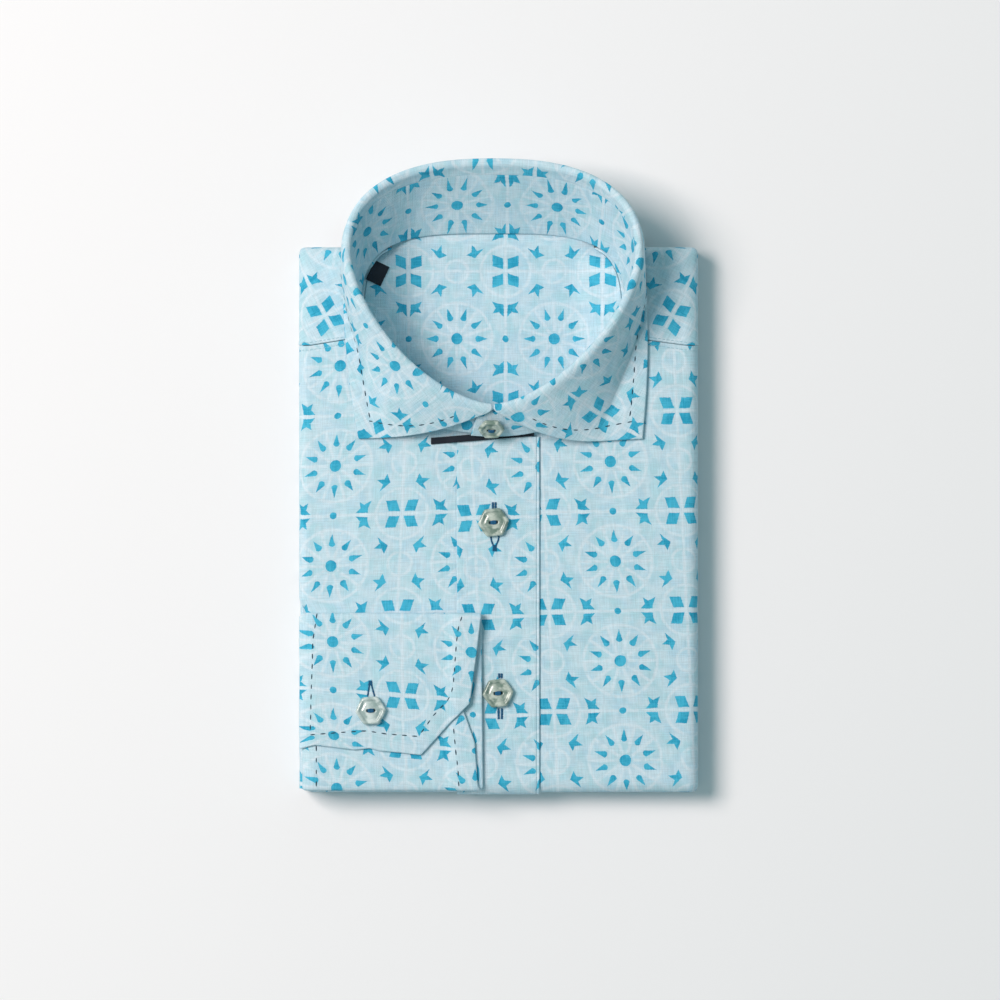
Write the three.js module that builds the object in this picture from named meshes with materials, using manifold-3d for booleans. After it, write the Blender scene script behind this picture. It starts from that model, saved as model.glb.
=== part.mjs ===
// A folded long-sleeved dress shirt, lying on its back with its spread collar standing up.
// One cuff is brought round the side edge and lies on the front.
// Units are millimetres. While it is built, X runs across, Y = 0 is the shoulder fold and the hem is at
// negative Y, and Z = 0 is the surface that the shirt lies on. The finished group is centred on its footprint.
import * as THREE from 'three';
import Module from 'manifold-3d';
import { mergeVertices } from 'three/addons/utils/BufferGeometryUtils.js';

const wasm = await Module();
wasm.setup();

const lerp = THREE.MathUtils.lerp;
const smooth = (x) => THREE.MathUtils.smoothstep(x, 0, 1);
const radians = THREE.MathUtils.degToRad;

// Driving dimensions of the folded packet.
const packet = { width: 191.6, length: 261.8, thickness: 20, edgeRadius: 5, skirtEnd: 9.8, crown: 1.5 };
const cloth = { wall: 1.2, interlined: 1.4, gap: 0.3 };
const seam = { atNeck: -43.2, atSide: -47.5, topstitchGap: 0.3 };
const placketSize = { left: -19.9, right: 19.7, top: -91, rise: 0.3 };
const frontEdges = { rightUnderlap: 14, leftEdge: 17 };

// The collar stands on an oval neck seam and folds over along a wider, higher oval.
const collar = { x: -2.6, bandShare: 0.84, fallShare: 0.86, rollWidth: 2.6, rollDrop: 1.6 };
const neckOval = { halfWidth: 64, middle: -38, back: 44.7, front: 52.5, backPower: 3.5, frontPower: 2.2 };
const foldOval = { halfWidth: 70, middle: -1.9, back: 43, front: 74.4, backPower: 2.38, frontPower: 1.6 };
const neckHeight = { back: 12.6, side: 0.9, front: 4.4, clear: 1.1, ease: 3.5 };
const foldHeight = { back: 38, side: 50, front: 39.5 };
const leafEdge = { start: -4, back: 16, low: 3.2, rest: 1.4, pointY: -92.2 };
const leaves = {
  left: { side: 71.8, point: 63.2, bow: 1.4, frontEdge: -89.5, flat: 9, steep: 0.02 },
  right: { side: 71.6, point: 71.8, bow: 2.6, frontEdge: -94.5, flat: 18, steep: 0.15 },
};
const leafFall = {
  frontReach: 26, creaseLift: 0.5, creasePull: 1.8, backSlope: 0.42, frontSlope: 0.6,
  bulgeOut: [1.2, 2.4], flatFrom: 0.25, flatTo: 0.9,
};
const bandTab = { overlapDegrees: 8, lapOut: 0.45, lapIn: 1.3 };

// The cuff is a flat loop: top flap, fold, lower layer, second fold and an underlap.
const cuffSize = {
  fold: -176.2, flapEnd: -242.4, mitreStart: -218.9, foot: -260.2, underlapEnd: -205,
  flapHeight: 4.8, lowerHeight: 1.2, underlapHeight: 3, wall: 1.4, seamTurn: 0.88,
};
const sleeveSize = { wall: 2.8, top: -177.5, foot: -260, tuckX: -90.6 };
const buttonSize = { thickness: 3, holeRadius: 0.85, holeSpacing: 2.7, cornerRadius: 1.6, bevel: 0.7 };
const buttonAcross = { front: 15.6, cuff: 15.4, collar: 13.2 };
const collarButton = { x: -3.4, share: 0.42, lean: radians(7), lift: 0.75 };

const halfWidth = packet.width / 2;
const flatX = halfWidth - packet.edgeRadius;
const sleeveArcX = cloth.gap + sleeveSize.wall - flatX;
const flatTop = -packet.edgeRadius;
const flatFoot = -packet.length + packet.edgeRadius;
const quarterTurn = (Math.PI / 2) * packet.edgeRadius;
const pressRows = { from: -168, to: -176 };
const lowerRows = [-160, pressRows.from, -172, pressRows.to, -180, -198, -218, -238, flatFoot];
const skirtLength = quarterTurn + packet.thickness - packet.edgeRadius - packet.skirtEnd;

// Soft creases in the body cloth, as long low ridges or troughs.
const creases = [
  { x: -62, y: -134, turn: 80, length: 24, width: 8, height: 0.5 },
  { x: -40, y: -112, turn: -25, length: 22, width: 8, height: 0.4 },
  { x: 55, y: -118, turn: 74, length: 36, width: 9, height: -0.4 },
  { x: 62, y: -190, turn: 98, length: 42, width: 10, height: 0.5 },
  { x: 40, y: -228, turn: 14, length: 24, width: 9, height: -0.4 },
];

function creaseHeight(x, y) {
  let height = 0;
  for (const crease of creases) {
    const c = Math.cos(radians(crease.turn));
    const s = Math.sin(radians(crease.turn));
    const along = ((x - crease.x) * c + (y - crease.y) * s) / crease.length;
    const across = ((y - crease.y) * c - (x - crease.x) * s) / crease.width;
    height += crease.height * Math.exp(-along * along - across * across);
  }
  return height;
}

// How far the packet's top stands over its edge height: a low crown and the creases.
function relief(x, y) {
  const across = Math.min(1, Math.abs(x) / halfWidth);
  const along = Math.min(1, Math.abs(y + packet.length / 2) / (packet.length / 2));
  const crown = packet.crown * (1 - across ** 4) * (1 - along ** 4);
  const fade = (1 - across ** 8) * (1 - along ** 8);
  return crown + creaseHeight(x, y) * fade;
}

const topHeight = (x, y) => packet.thickness + relief(x, y);

// The wrapped sleeve presses the upper layers' left edge in by its own thickness.
function sleevePress(x, y, z) {
  const depth = sleeveArcX + flatX;
  const above = z > packet.skirtEnd - 2.5;
  const sideShare = smooth((-x - 50) / (flatX - 50));
  return x < 0 && above ? depth * sideShare * smooth((pressRows.from - y) / (pressRows.from - pressRows.to)) : 0;
}

function settle(x, y, z) {
  const lift = 1 + relief(x, y) / packet.thickness;
  return new THREE.Vector3(x + sleevePress(x, y, z), y, z * lift);
}

// The place of cloth at flat coordinates (a, b), h above the packet's skin. Past the flat top it turns down.
function onPacket(a, b, h) {
  const r = packet.edgeRadius;
  const overX = Math.sign(a) * Math.max(0, Math.abs(a) - flatX);
  const overY = b > flatTop ? b - flatTop : Math.min(0, b - flatFoot);
  const over = Math.max(Math.abs(overX), Math.abs(overY));
  const reach = Math.hypot(overX, overY) || 1;
  const turn = Math.min(over, quarterTurn) / r;
  const out = (r + h) * Math.sin(turn);
  const z = packet.thickness - r + (r + h) * Math.cos(turn) - Math.max(0, over - quarterTurn);
  return settle(a - overX + (out * overX) / reach, b - overY + (out * overY) / reach, z);
}

// Closed wall between two grids of points, outer[i][j] and inner[i][j].
function wallBetween(outer, inner) {
  const columns = outer.length;
  const rows = outer[0].length;
  const positions = [...outer.flat(), ...inner.flat()].flatMap((p) => [p.x, p.y, p.z]);
  const at = (side, i, j) => side * columns * rows + i * rows + j;
  const index = [];
  const quad = (a, b, c, d) => index.push(a, b, c, a, c, d);
  for (let i = 0; i + 1 < columns; i++) {
    for (let j = 0; j + 1 < rows; j++) {
      quad(at(0, i, j), at(0, i + 1, j), at(0, i + 1, j + 1), at(0, i, j + 1));
      quad(at(1, i, j), at(1, i, j + 1), at(1, i + 1, j + 1), at(1, i + 1, j));
    }
  }
  for (let i = 0; i + 1 < columns; i++) {
    quad(at(0, i, 0), at(1, i, 0), at(1, i + 1, 0), at(0, i + 1, 0));
    quad(at(0, i, rows - 1), at(0, i + 1, rows - 1), at(1, i + 1, rows - 1), at(1, i, rows - 1));
  }
  for (let j = 0; j + 1 < rows; j++) {
    quad(at(0, 0, j), at(0, 0, j + 1), at(1, 0, j + 1), at(1, 0, j));
    quad(at(0, columns - 1, j), at(1, columns - 1, j), at(1, columns - 1, j + 1), at(0, columns - 1, j + 1));
  }
  return facingOut(positions, index);
}

// A geometry from points and triangles, turned round if its faces point inwards.
function facingOut(positions, index) {
  const geometry = new THREE.BufferGeometry();
  geometry.setAttribute('position', new THREE.Float32BufferAttribute(positions, 3));
  const corner = (k) => new THREE.Vector3(...positions.slice(3 * index[k], 3 * index[k] + 3));
  let volume = 0;
  for (let k = 0; k < index.length; k += 3) {
    volume += corner(k).dot(corner(k + 1).cross(corner(k + 2)));
  }
  if (volume < 0) {
    for (let k = 0; k < index.length; k += 3) {
      [index[k + 1], index[k + 2]] = [index[k + 2], index[k + 1]];
    }
  }
  geometry.setIndex(index);
  geometry.computeVertexNormals();
  return geometry;
}

// Grids on both sides of a middle surface, from its own slopes.
function thicken(middle, wall, columnLift = () => 0) {
  const columns = middle.length;
  const rows = middle[0].length;
  const normalAt = (i, j) => {
    const alongI = middle[Math.min(i + 1, columns - 1)][j].clone().sub(middle[Math.max(i - 1, 0)][j]);
    const alongJ = middle[i][Math.min(j + 1, rows - 1)].clone().sub(middle[i][Math.max(j - 1, 0)]);
    return alongI.cross(alongJ).normalize();
  };
  const shifted = (side) =>
    middle.map((line, i) =>
      line.map((p, j) => p.clone().addScaledVector(normalAt(i, j), columnLift(i) + (side * wall) / 2)));
  return wallBetween(shifted(1), shifted(-1));
}

function evenly(from, to, steps) {
  return Array.from({ length: steps + 1 }, (_, k) => lerp(from, to, k / steps));
}

// Half the oval's width at a given Y, or its Y at a given width from its middle.
function ovalHalfWidth(oval, y) {
  const back = y > oval.middle;
  const share = Math.min(1, Math.abs(y - oval.middle) / (back ? oval.back : oval.front));
  const power = back ? oval.backPower : oval.frontPower;
  return oval.halfWidth * (1 - share ** power) ** (1 / power);
}

function ovalFrontY(oval, x) {
  const share = Math.min(1, Math.abs(x) / oval.halfWidth);
  return oval.middle - oval.front * (1 - share ** oval.frontPower) ** (1 / oval.frontPower);
}

// A point of an oval at an angle: 0 is the viewer's right, 90 the back of the neck.
function ovalPoint(oval, degrees) {
  const c = Math.cos(radians(degrees));
  const s = Math.sin(radians(degrees));
  const power = 2 / (s > 0 ? oval.backPower : oval.frontPower);
  const x = oval.halfWidth * Math.sign(c) * Math.abs(c) ** power;
  const y = oval.middle + (s > 0 ? oval.back : -oval.front) * Math.abs(s) ** power;
  return new THREE.Vector3(collar.x + x, y, 0);
}

// The cut neck edge of the panels lies a little inside the collar's seam.
const neckCut = { ...neckOval, halfWidth: neckOval.halfWidth - 2, back: neckOval.back, front: neckOval.front - 2 };
const seamNeckX = ovalHalfWidth(neckCut, seam.atNeck);

function yokeSeamY(a) {
  const side = Math.sign(a - collar.x);
  const fromCentre = side * collar.x + seamNeckX;
  const share = (side * a - fromCentre) / (flatX - fromCentre);
  return lerp(seam.atNeck, seam.atSide, THREE.MathUtils.clamp(share, 0, 1));
}

function frontTopY(a) {
  const fromNeck = Math.abs(a - collar.x);
  return fromNeck < seamNeckX ? Math.min(seam.atNeck, ovalFrontY(neckCut, fromNeck)) : yokeSeamY(a);
}

const skirtSteps = [0.22, 0.45, 0.7, 1].map((share) => share * skirtLength);

// A front: from its centre edge out over the side fold, and from yoke seam or neckline down over the hem fold.
function frontPanel(side, centreEdge) {
  const neckShares = [1, 0.985, 0.94, 0.86, 0.74, 0.58, 0.4, 0.2];
  const columns = [
    ...skirtSteps.map((step) => side * (flatX + step)).reverse(),
    ...evenly(side * flatX, collar.x + side * (seamNeckX + 2.5), 3),
    ...neckShares.map((share) => collar.x + side * share * seamNeckX),
    collar.x,
  ].filter((a) => side * (a - centreEdge) > 3);
  columns.push(centreEdge);
  const grid = (h) => columns.map((a) => {
    const down = evenly(frontTopY(a), lowerRows[0], 7).slice(0, -1);
    return [...down, ...lowerRows, ...skirtSteps.map((step) => flatFoot - step)].map((b) => onPacket(a, b, h));
  });
  return wallBetween(grid(0), grid(-cloth.wall));
}

// A shoulder of the yoke: from its seam up over the shoulder fold, and from the neck out over the side fold.
function yokeShoulder(side) {
  const grid = (h) => {
    const place = (u, b, extra) => {
      const turn = Math.min(Math.max(0, b - flatTop), quarterTurn) / packet.edgeRadius;
      const skinY = Math.min(b, flatTop) + (packet.edgeRadius + h) * Math.sin(turn);
      const neckX = collar.x + side * ovalHalfWidth(neckCut, skinY);
      return onPacket(lerp(neckX, side * flatX, u) + side * extra, b, h);
    };
    const acrossShares = [...evenly(0, 1, 6).map((u) => [u, 0]), ...skirtSteps.map((step) => [1, step])];
    return acrossShares.map(([u, extra]) => {
      const low = lerp(seam.atNeck, seam.atSide, u) + seam.topstitchGap;
      const up = evenly(0, 1, 6).map((v) => lerp(low, flatTop, v));
      return [...up, ...skirtSteps.map((step) => flatTop + step)].map((b) => place(u, b, extra));
    });
  };
  return wallBetween(grid(0), grid(-cloth.wall));
}

// The hidden back, tail and sleeves: rings of a rounded rectangle, with a bulge for each folded layer.
const edgeRings = [
  { z: 0, inset: 2.6 }, { z: 0.5, inset: 1.1 }, { z: 1.8, inset: 0.4 }, { z: 3.1, inset: 1.1 },
  { z: 3.6, inset: 2.8 }, { z: 4.1, inset: 1.1 }, { z: 5.4, inset: 0.4 }, { z: 6.7, inset: 1.1 },
  { z: 7.2, inset: 2.8 }, { z: 7.4, inset: 4.4 }, { z: 9.9, inset: 4.4 }, { z: 10.3, inset: 1.9 },
  { z: 14, inset: 1.9 },
];

function foldedLayers() {
  const clear = cloth.wall + cloth.gap + 0.2;
  const innerRadius = packet.edgeRadius - clear;
  const arcRings = [30, 60, 90].map((degrees) => ({
    z: packet.thickness - packet.edgeRadius + innerRadius * Math.sin(radians(degrees)),
    inset: clear + innerRadius * (1 - Math.cos(radians(degrees))),
  }));
  const capRings = [16, 34, 60, 88].map((inset) => ({ z: packet.thickness - clear, inset }));
  const rings = [...edgeRings, ...arcRings, ...capRings].map(({ z, inset }) => ringAt(z, inset));
  const around = rings[0].length;
  const positions = rings.flat().flatMap((p) => [p.x, p.y, p.z]);
  const index = [];
  for (let level = 0; level + 1 < rings.length; level++) {
    for (let k = 0; k < around; k++) {
      const a = level * around + k;
      const b = level * around + ((k + 1) % around);
      index.push(a, b, b + around, a, b + around, a + around);
    }
  }
  const lastRing = (rings.length - 1) * around;
  for (let k = 1; k + 1 < around; k++) {
    index.push(0, k + 1, k);
    index.push(lastRing, lastRing + k, lastRing + k + 1);
  }
  const whole = solidOf(facingOut(positions, index));
  return geometryOf(whole.subtract(solidOf(neckRecess())));
}

// One level of the packet: a rectangle with rounded corners, as points set evenly along each side.
function ringAt(z, inset) {
  const x = halfWidth - inset;
  const top = -inset;
  const foot = -packet.length + inset;
  const r = Math.max(0.4, packet.edgeRadius - inset);
  const outline = [];
  const corner = (cx, cy, start) => {
    for (const turn of [0, 30, 60, 90]) {
      outline.push([cx + r * Math.cos(radians(start + turn)), cy + r * Math.sin(radians(start + turn))]);
    }
  };
  const run = (from, to, steps) => {
    for (const share of evenly(0, 1, steps).slice(1, -1)) {
      outline.push([lerp(from[0], to[0], share), lerp(from[1], to[1], share)]);
    }
  };
  corner(x - r, top - r, 0);
  run([x - r, top], [r - x, top], 5);
  corner(r - x, top - r, 90);
  const sideRows = [-30, -60, -95, -130, ...lowerRows.slice(0, -1)];
  outline.push(...sideRows.map((y) => [-x, y]));
  corner(r - x, foot + r, 180);
  run([r - x, foot], [x - r, foot], 5);
  corner(x - r, foot + r, 270);
  outline.push(...sideRows.reverse().map((y) => [x, y]));
  return outline.map(([px, py]) => settle(px, py, z));
}

const neckRows = [0, -2, -4, -7, -11, -17, -25, -38, -50, -60, -68, -75, -81, -85];

// What the neck leaves open in the hidden layers: a dish-shaped well that runs out past the shoulder fold.
function neckRecess() {
  const shape = new THREE.Shape();
  const behind = 20;
  const depth = 30;
  const openHalf = ovalHalfWidth(neckCut, 0);
  shape.moveTo(collar.x + openHalf, behind);
  for (const y of neckRows) shape.lineTo(collar.x + ovalHalfWidth(neckCut, y), y);
  for (const y of neckRows.toReversed()) shape.lineTo(collar.x - ovalHalfWidth(neckCut, y), y);
  shape.lineTo(collar.x - openHalf, behind);
  const well = new THREE.ExtrudeGeometry(shape, { depth, bevelEnabled: false });
  well.translate(0, 0, inner.floor - cloth.gap);
  return well;
}

// The yoke's inside, seen through the neck: a shallow dish that rises to the neck seam at its sides.
const inner = { floor: 8.4, back: 8, backRise: 2, rimClear: 0.8, rimDrop: 1.4, wall: 1.2 };
const dish = { backReach: 22, frontReach: 40, alongShare: 0.4, riseFrom: 0.62, lowShare: 0.06 };
const shoulderRun = { from: -1, length: 12 };
const backRun = { from: -14, length: 18 };

function innerYokeHeight(x, y) {
  const back = y > neckCut.middle;
  const reach = back ? neckCut.back + dish.backReach : neckCut.front + dish.frontReach;
  const alongShare = (dish.alongShare * (y - neckCut.middle)) / reach;
  const round = Math.hypot((x - collar.x) / (neckCut.halfWidth - inner.rimClear), alongShare);
  const fullRise = packet.thickness - inner.floor - inner.rimDrop;
  const sideRise = fullRise * smooth((round - dish.riseFrom) / (1 - dish.riseFrom));
  const shoulderShare = smooth((shoulderRun.from - y) / shoulderRun.length);
  const backLift = inner.backRise * smooth((y - backRun.from) / backRun.length);
  return inner.floor + sideRise * lerp(dish.lowShare, 1, shoulderShare) + backLift;
}

function innerYoke() {
  const rows = [inner.back, 4, ...neckRows.slice(0, -1)];
  const halfAt = (y) => ovalHalfWidth(neckCut, Math.min(y, 0)) - inner.rimClear;
  const grid = (h) => evenly(-1, 1, 14).map((u) => rows.map((y) => {
    const x = collar.x + u * halfAt(y);
    return new THREE.Vector3(x, y, innerYokeHeight(x, y) + h);
  }));
  return wallBetween(grid(inner.wall), grid(0));
}

// The buttoned front band, raised on the right front and over the left front's edge.
function placket() {
  const columns = evenly(placketSize.left, placketSize.right, 4);
  const rows = [...evenly(placketSize.top, flatFoot, 12), ...skirtSteps.map((step) => flatFoot - step)];
  const grid = (h) => columns.map((a) => rows.map((b) => onPacket(a, b, h)));
  return wallBetween(grid(placketSize.rise + cloth.interlined), grid(placketSize.rise));
}

// How far what lies on the fronts is lifted by the placket's edge.
function overPlacket(x) {
  const rise = placketSize.rise + cloth.interlined;
  return rise * smooth((x - placketSize.left + 6) / 6) * smooth((placketSize.right + 6 - x) / 6);
}

// The collar's stations at an angle: its neck seam, its fold and the free edge of its leaf.
function neckSeamPoint(degrees) {
  const p = ovalPoint(neckOval, degrees);
  const s = Math.sin(radians(degrees));
  const rise = lerp(neckHeight.side, neckHeight.front, smooth((-s - 0.75) / 0.2));
  const r = packet.edgeRadius;
  const overFold = THREE.MathUtils.clamp(p.y - neckHeight.clear - flatTop, 0, r);
  const roundDrop = r - Math.sqrt(r * r - overFold * overFold);
  const onShoulder = topHeight(p.x, p.y) + rise - roundDrop;
  p.z = lerp(onShoulder, neckHeight.back, smooth((p.y - neckHeight.clear) / neckHeight.ease));
  return p;
}

function foldPoint(degrees) {
  const p = ovalPoint(foldOval, degrees);
  const c = Math.cos(radians(degrees)) ** 2;
  const end = Math.sin(radians(degrees)) > 0 ? foldHeight.back : foldHeight.front;
  p.z = lerp(end, foldHeight.side, c);
  return p;
}

function outward(degrees) {
  const step = 0.5;
  const along = foldPoint(degrees + step).sub(foldPoint(degrees - step));
  return new THREE.Vector3(along.y, -along.x, 0).normalize();
}

function leafEdgePoint(degrees) {
  const c = Math.cos(radians(degrees));
  const s = Math.sin(radians(degrees));
  const leaf = c > 0 ? leaves.right : leaves.left;
  if (s > 0) {
    const power = 2 / neckOval.backPower;
    const x = collar.x + leaf.side * Math.sign(c) * Math.abs(c) ** power;
    const y = leafEdge.start + leafEdge.back * s ** power;
    const fromSide = 90 - Math.abs(90 - degrees);
    const resting = packet.thickness + leafEdge.rest;
    return new THREE.Vector3(x, y, lerp(resting, leafEdge.low, smooth((fromSide - 10) / 35)));
  }
  const w = -s;
  const x = collar.x + Math.sign(c) * (lerp(leaf.side, leaf.point, w ** 1.5) + leaf.bow * Math.sin(Math.PI * w));
  const y = lerp(leafEdge.start, leafEdge.pointY, w);
  return new THREE.Vector3(x, y, topHeight(x, y) + leafEdge.rest);
}

// The stand's slope at an angle, and the direction square to it that faces the leaf.
function standFrame(degrees) {
  const low = neckSeamPoint(degrees);
  const fold = foldPoint(degrees);
  const out = outward(degrees);
  const rise = fold.clone().sub(low).normalize();
  const lean = rise.dot(out);
  const facing = out.clone().multiplyScalar(rise.z).add(new THREE.Vector3(0, 0, -lean)).normalize();
  return { low, fold, out, rise, facing };
}

// A point beside the fold: back down the slope, and towards the leaf (1) or the neck (-1).
function besideFold({ fold, rise, facing }, back, side) {
  return fold.clone().addScaledVector(rise, -back).addScaledVector(facing, (side * collar.rollWidth) / 2);
}

// The collar's standing part between the neck seam (0) and the fold's inner side (1).
function standPoint(degrees, share) {
  const frame = standFrame(degrees);
  const top = besideFold(frame, collar.rollDrop, -1);
  return frame.low.lerp(top, share).addScaledVector(frame.facing, 0.8 * Math.sin(Math.PI * share));
}

function collarBand() {
  const tab = bandTab.overlapDegrees;
  const angles = [
    ...evenly(-90 - tab, -90 + tab, 4), ...evenly(-90 + tab, 270 - tab, 42).slice(1, -1),
    ...evenly(270 - tab, 270 + tab, 4),
  ];
  const shares = evenly(0, collar.bandShare, 5);
  const middle = angles.map((degrees) => shares.map((share) => standPoint(degrees, share)));
  // The end on the viewer's right laps over the other at the button.
  const lapLift = (i) => {
    const fromRight = angles[i] + 90;
    const fromLeft = 270 - angles[i];
    const over = smooth((tab + 22 - Math.abs(fromRight)) / 18);
    const under = smooth((tab + 22 - Math.abs(fromLeft)) / 18);
    return bandTab.lapOut * over - bandTab.lapIn * under;
  };
  return thicken(middle, cloth.interlined, lapLift);
}

// A point of a leaf, t of the way from the roll to its free edge. It slopes down to a crease and then lies flat.
function leafPoint({ start, bulge, crease, edge }, t) {
  const s = 1 - t;
  const shares = [s ** 3, 3 * s * s * t, 3 * s * t * t * leafFall.creasePull, t ** 3];
  const total = shares.reduce((sum, share) => sum + share);
  const point = new THREE.Vector3();
  [start, bulge, crease, edge].forEach((corner, k) => point.addScaledVector(corner, shares[k] / total));
  return point;
}

function leafCorners(degrees, frame) {
  const edge = leafEdgePoint(degrees);
  const w = Math.max(0, -Math.sin(radians(degrees)));
  const right = Math.cos(radians(degrees)) > 0;
  const leaf = right ? leaves.right : leaves.left;
  const start = besideFold(frame, collar.rollDrop, 1);
  const slope = lerp(leafFall.backSlope, leafFall.frontSlope, w);
  const bulge = start.clone().lerp(edge, 0.5 - leaf.steep * w).addScaledVector(frame.out, lerp(...leafFall.bulgeOut, w));
  bulge.z = lerp(start.z, edge.z, slope);
  const frontX = collar.x + (right ? leafFall.frontReach : -leafFall.frontReach);
  const frontEdge = new THREE.Vector3(frontX, leaf.frontEdge, lerp(start.z, edge.z, 0.6));
  bulge.lerp(frontEdge, smooth((w - 0.86) / 0.14));
  const inwards = bulge.clone().sub(edge).setZ(0);
  const flatShare = smooth((w - leafFall.flatFrom) / (leafFall.flatTo - leafFall.flatFrom));
  const flatWidth = Math.min(leaf.flat * flatShare, inwards.length() * 0.6);
  const crease = edge.clone().addScaledVector(inwards.normalize(), flatWidth);
  crease.z = edge.z + leafFall.creaseLift * w;
  return { start, bulge, crease, edge };
}

// One section of the fall: up the inside, over the roll, and out and down to the leaf's edge.
function fallSection(degrees) {
  const frame = standFrame(degrees);
  const corners = leafCorners(degrees, frame);
  return new THREE.CatmullRomCurve3([
    standPoint(degrees, collar.fallShare), standPoint(degrees, 0.93), standPoint(degrees, 1), frame.fold,
    ...[0, 0.1, 0.24, 0.4, 0.56, 0.74, 1].map((t) => leafPoint(corners, t)),
  ], false, 'centripetal');
}

function collarFall() {
  const endGap = 0.9;
  const angles = [
    ...[endGap, 3.5, 8, 14].map((step) => step - 90), ...evenly(-68, 248, 44),
    ...[14, 8, 3.5, endGap].map((step) => 270 - step),
  ];
  const shares = [...evenly(0, 0.5, 7), ...evenly(0.5, 1, 7).slice(1)];
  const middle = angles.map((degrees) => {
    const section = fallSection(degrees);
    return shares.map((share) => section.getPoint(share));
  });
  return thicken(middle, cloth.interlined);
}

// The dark tape that shows under the band, across the top of the fronts.
function neckTape() {
  const ends = { left: [-32.4, -93.2], right: [17, -89.2] };
  const width = 3.2;
  const rest = (x, y) => topHeight(x, y) + overPlacket(x) + cloth.gap;
  const grid = (h) => evenly(0, 1, 8).map((u) => evenly(0, 1, 2).map((v) => {
    const x = lerp(ends.left[0], ends.right[0], u);
    const y = lerp(ends.left[1], ends.right[1], u) + width * (v - 0.5);
    return new THREE.Vector3(x, y, rest(x, y) + h);
  }));
  return wallBetween(grid(0.8), grid(0));
}

// How far cloth that lies on the packet's top comes down towards the hem fold.
function hemDrop(y) {
  const past = Math.min(packet.edgeRadius, Math.max(0, flatFoot - y));
  return 0.5 * (packet.edgeRadius - Math.sqrt(packet.edgeRadius ** 2 - past ** 2));
}

// Where cuff and sleeve lie: flat on the front, then over the packet's left edge and into its folded layers.
function roundSleeveEdge(a, y, h) {
  const past = Math.max(0, sleeveArcX - a);
  const r = packet.edgeRadius;
  const turn = Math.min(past / (r + sleeveSize.wall / 2), Math.PI / 2);
  const straight = Math.max(0, past - (Math.PI / 2) * (r + sleeveSize.wall / 2));
  const x = Math.max(a, sleeveArcX) - (r + h) * Math.sin(turn);
  const flatZ = topHeight(Math.max(a, sleeveArcX), y) + overPlacket(x) - hemDrop(y);
  return new THREE.Vector3(x, y, flatZ - r + (r + h) * Math.cos(turn) - straight);
}

const cuffSeamA = sleeveArcX - cuffSize.seamTurn * (packet.edgeRadius + sleeveSize.wall / 2);

// The cuff's loop as stations along its round: where each lies, how high, and where its hand edge is.
function cuffStations() {
  const { fold, flapEnd, mitreStart, foot, underlapEnd, flapHeight, lowerHeight, underlapHeight } = cuffSize;
  const topRadius = (flapHeight - lowerHeight) / 2;
  const footRadius = (underlapHeight - lowerHeight) / 2;
  const flap = [
    { y: flapEnd, h: flapHeight, hand: -37.2 }, { y: lerp(flapEnd, mitreStart, 0.5), h: flapHeight, hand: -25.4 },
    { y: mitreStart, h: flapHeight, hand: -13.7 }, { y: -205, h: flapHeight, hand: -11.8 },
    { y: -190, h: flapHeight, hand: -9.8 }, { y: fold - topRadius, h: flapHeight, hand: -8.5 },
  ];
  const turnDown = [45, 90, 135].map((degrees) => ({
    y: fold - topRadius + topRadius * Math.sin(radians(degrees)),
    h: lowerHeight + topRadius * (1 + Math.cos(radians(degrees))),
    hand: -8.2,
  }));
  const lower = [fold - topRadius, -198, -220, -240, flatFoot, foot + footRadius].map((y) => ({
    y, h: lowerHeight, hand: lerp(-8.2, -7.4, (fold - y) / (fold - foot)),
  }));
  const turnUp = [45, 90, 135].map((degrees) => ({
    y: foot + footRadius - footRadius * Math.sin(radians(degrees)),
    h: lowerHeight + footRadius * (1 - Math.cos(radians(degrees))),
    hand: -8.4,
  }));
  const underlap = [
    { y: foot + footRadius, h: underlapHeight, hand: -9.4 }, { y: flatFoot, h: underlapHeight, hand: -10 },
    { y: -237.6, h: underlapHeight, hand: -11.3 }, { y: -222.7, h: underlapHeight, hand: -16.6 },
    { y: underlapEnd, h: underlapHeight, hand: -30 },
  ];
  return [...flap, ...turnDown, ...lower, ...turnUp, ...underlap];
}

function cuff() {
  const stations = cuffStations();
  const half = cuffSize.wall / 2;
  const grid = (side) => stations.map((station, k) => {
    const before = stations[Math.max(k - 1, 0)];
    const after = stations[Math.min(k + 1, stations.length - 1)];
    const run = Math.hypot(after.y - before.y, after.h - before.h);
    const y = station.y - (side * half * (after.h - before.h)) / run;
    const h = station.h + (side * half * (after.y - before.y)) / run;
    return [0, 0.035, 0.07, 0.2, 0.36, 0.54, 0.72, 0.86, 1].map((u) =>
      roundSleeveEdge(lerp(cuffSeamA, station.hand, u), y, h));
  });
  return wallBetween(grid(1), grid(-1));
}

// The sleeve leaves the cuff's seam, turns round the packet's left edge and goes in between the folded layers.
function sleeve() {
  const start = cuffSeamA - cloth.gap;
  const sideEnd = sleeveArcX - (Math.PI / 2) * (packet.edgeRadius + sleeveSize.wall / 2) - 1;
  const rows = [sleeveSize.foot, ...evenly(flatFoot, sleeveSize.top, 5)];
  const low = cloth.gap;
  const high = cloth.gap + sleeveSize.wall;
  const round = (h) => evenly(start, sideEnd, 5).map((a) => rows.map((y) => roundSleeveEdge(a, y, h)));
  const tuck = (points) => points.map(([x, z]) => rows.map((y) => new THREE.Vector3(x, y, z)));
  const outer = [...round(high), ...tuck([[-95.6, 9.4], [-94.4, 7.9], [sleeveSize.tuckX, 7.7]])];
  const inside = [...round(low), ...tuck([[-93.1, 10.2], [-92.8, 9.2], [sleeveSize.tuckX, 9]])];
  return wallBetween(outer, inside);
}

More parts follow.
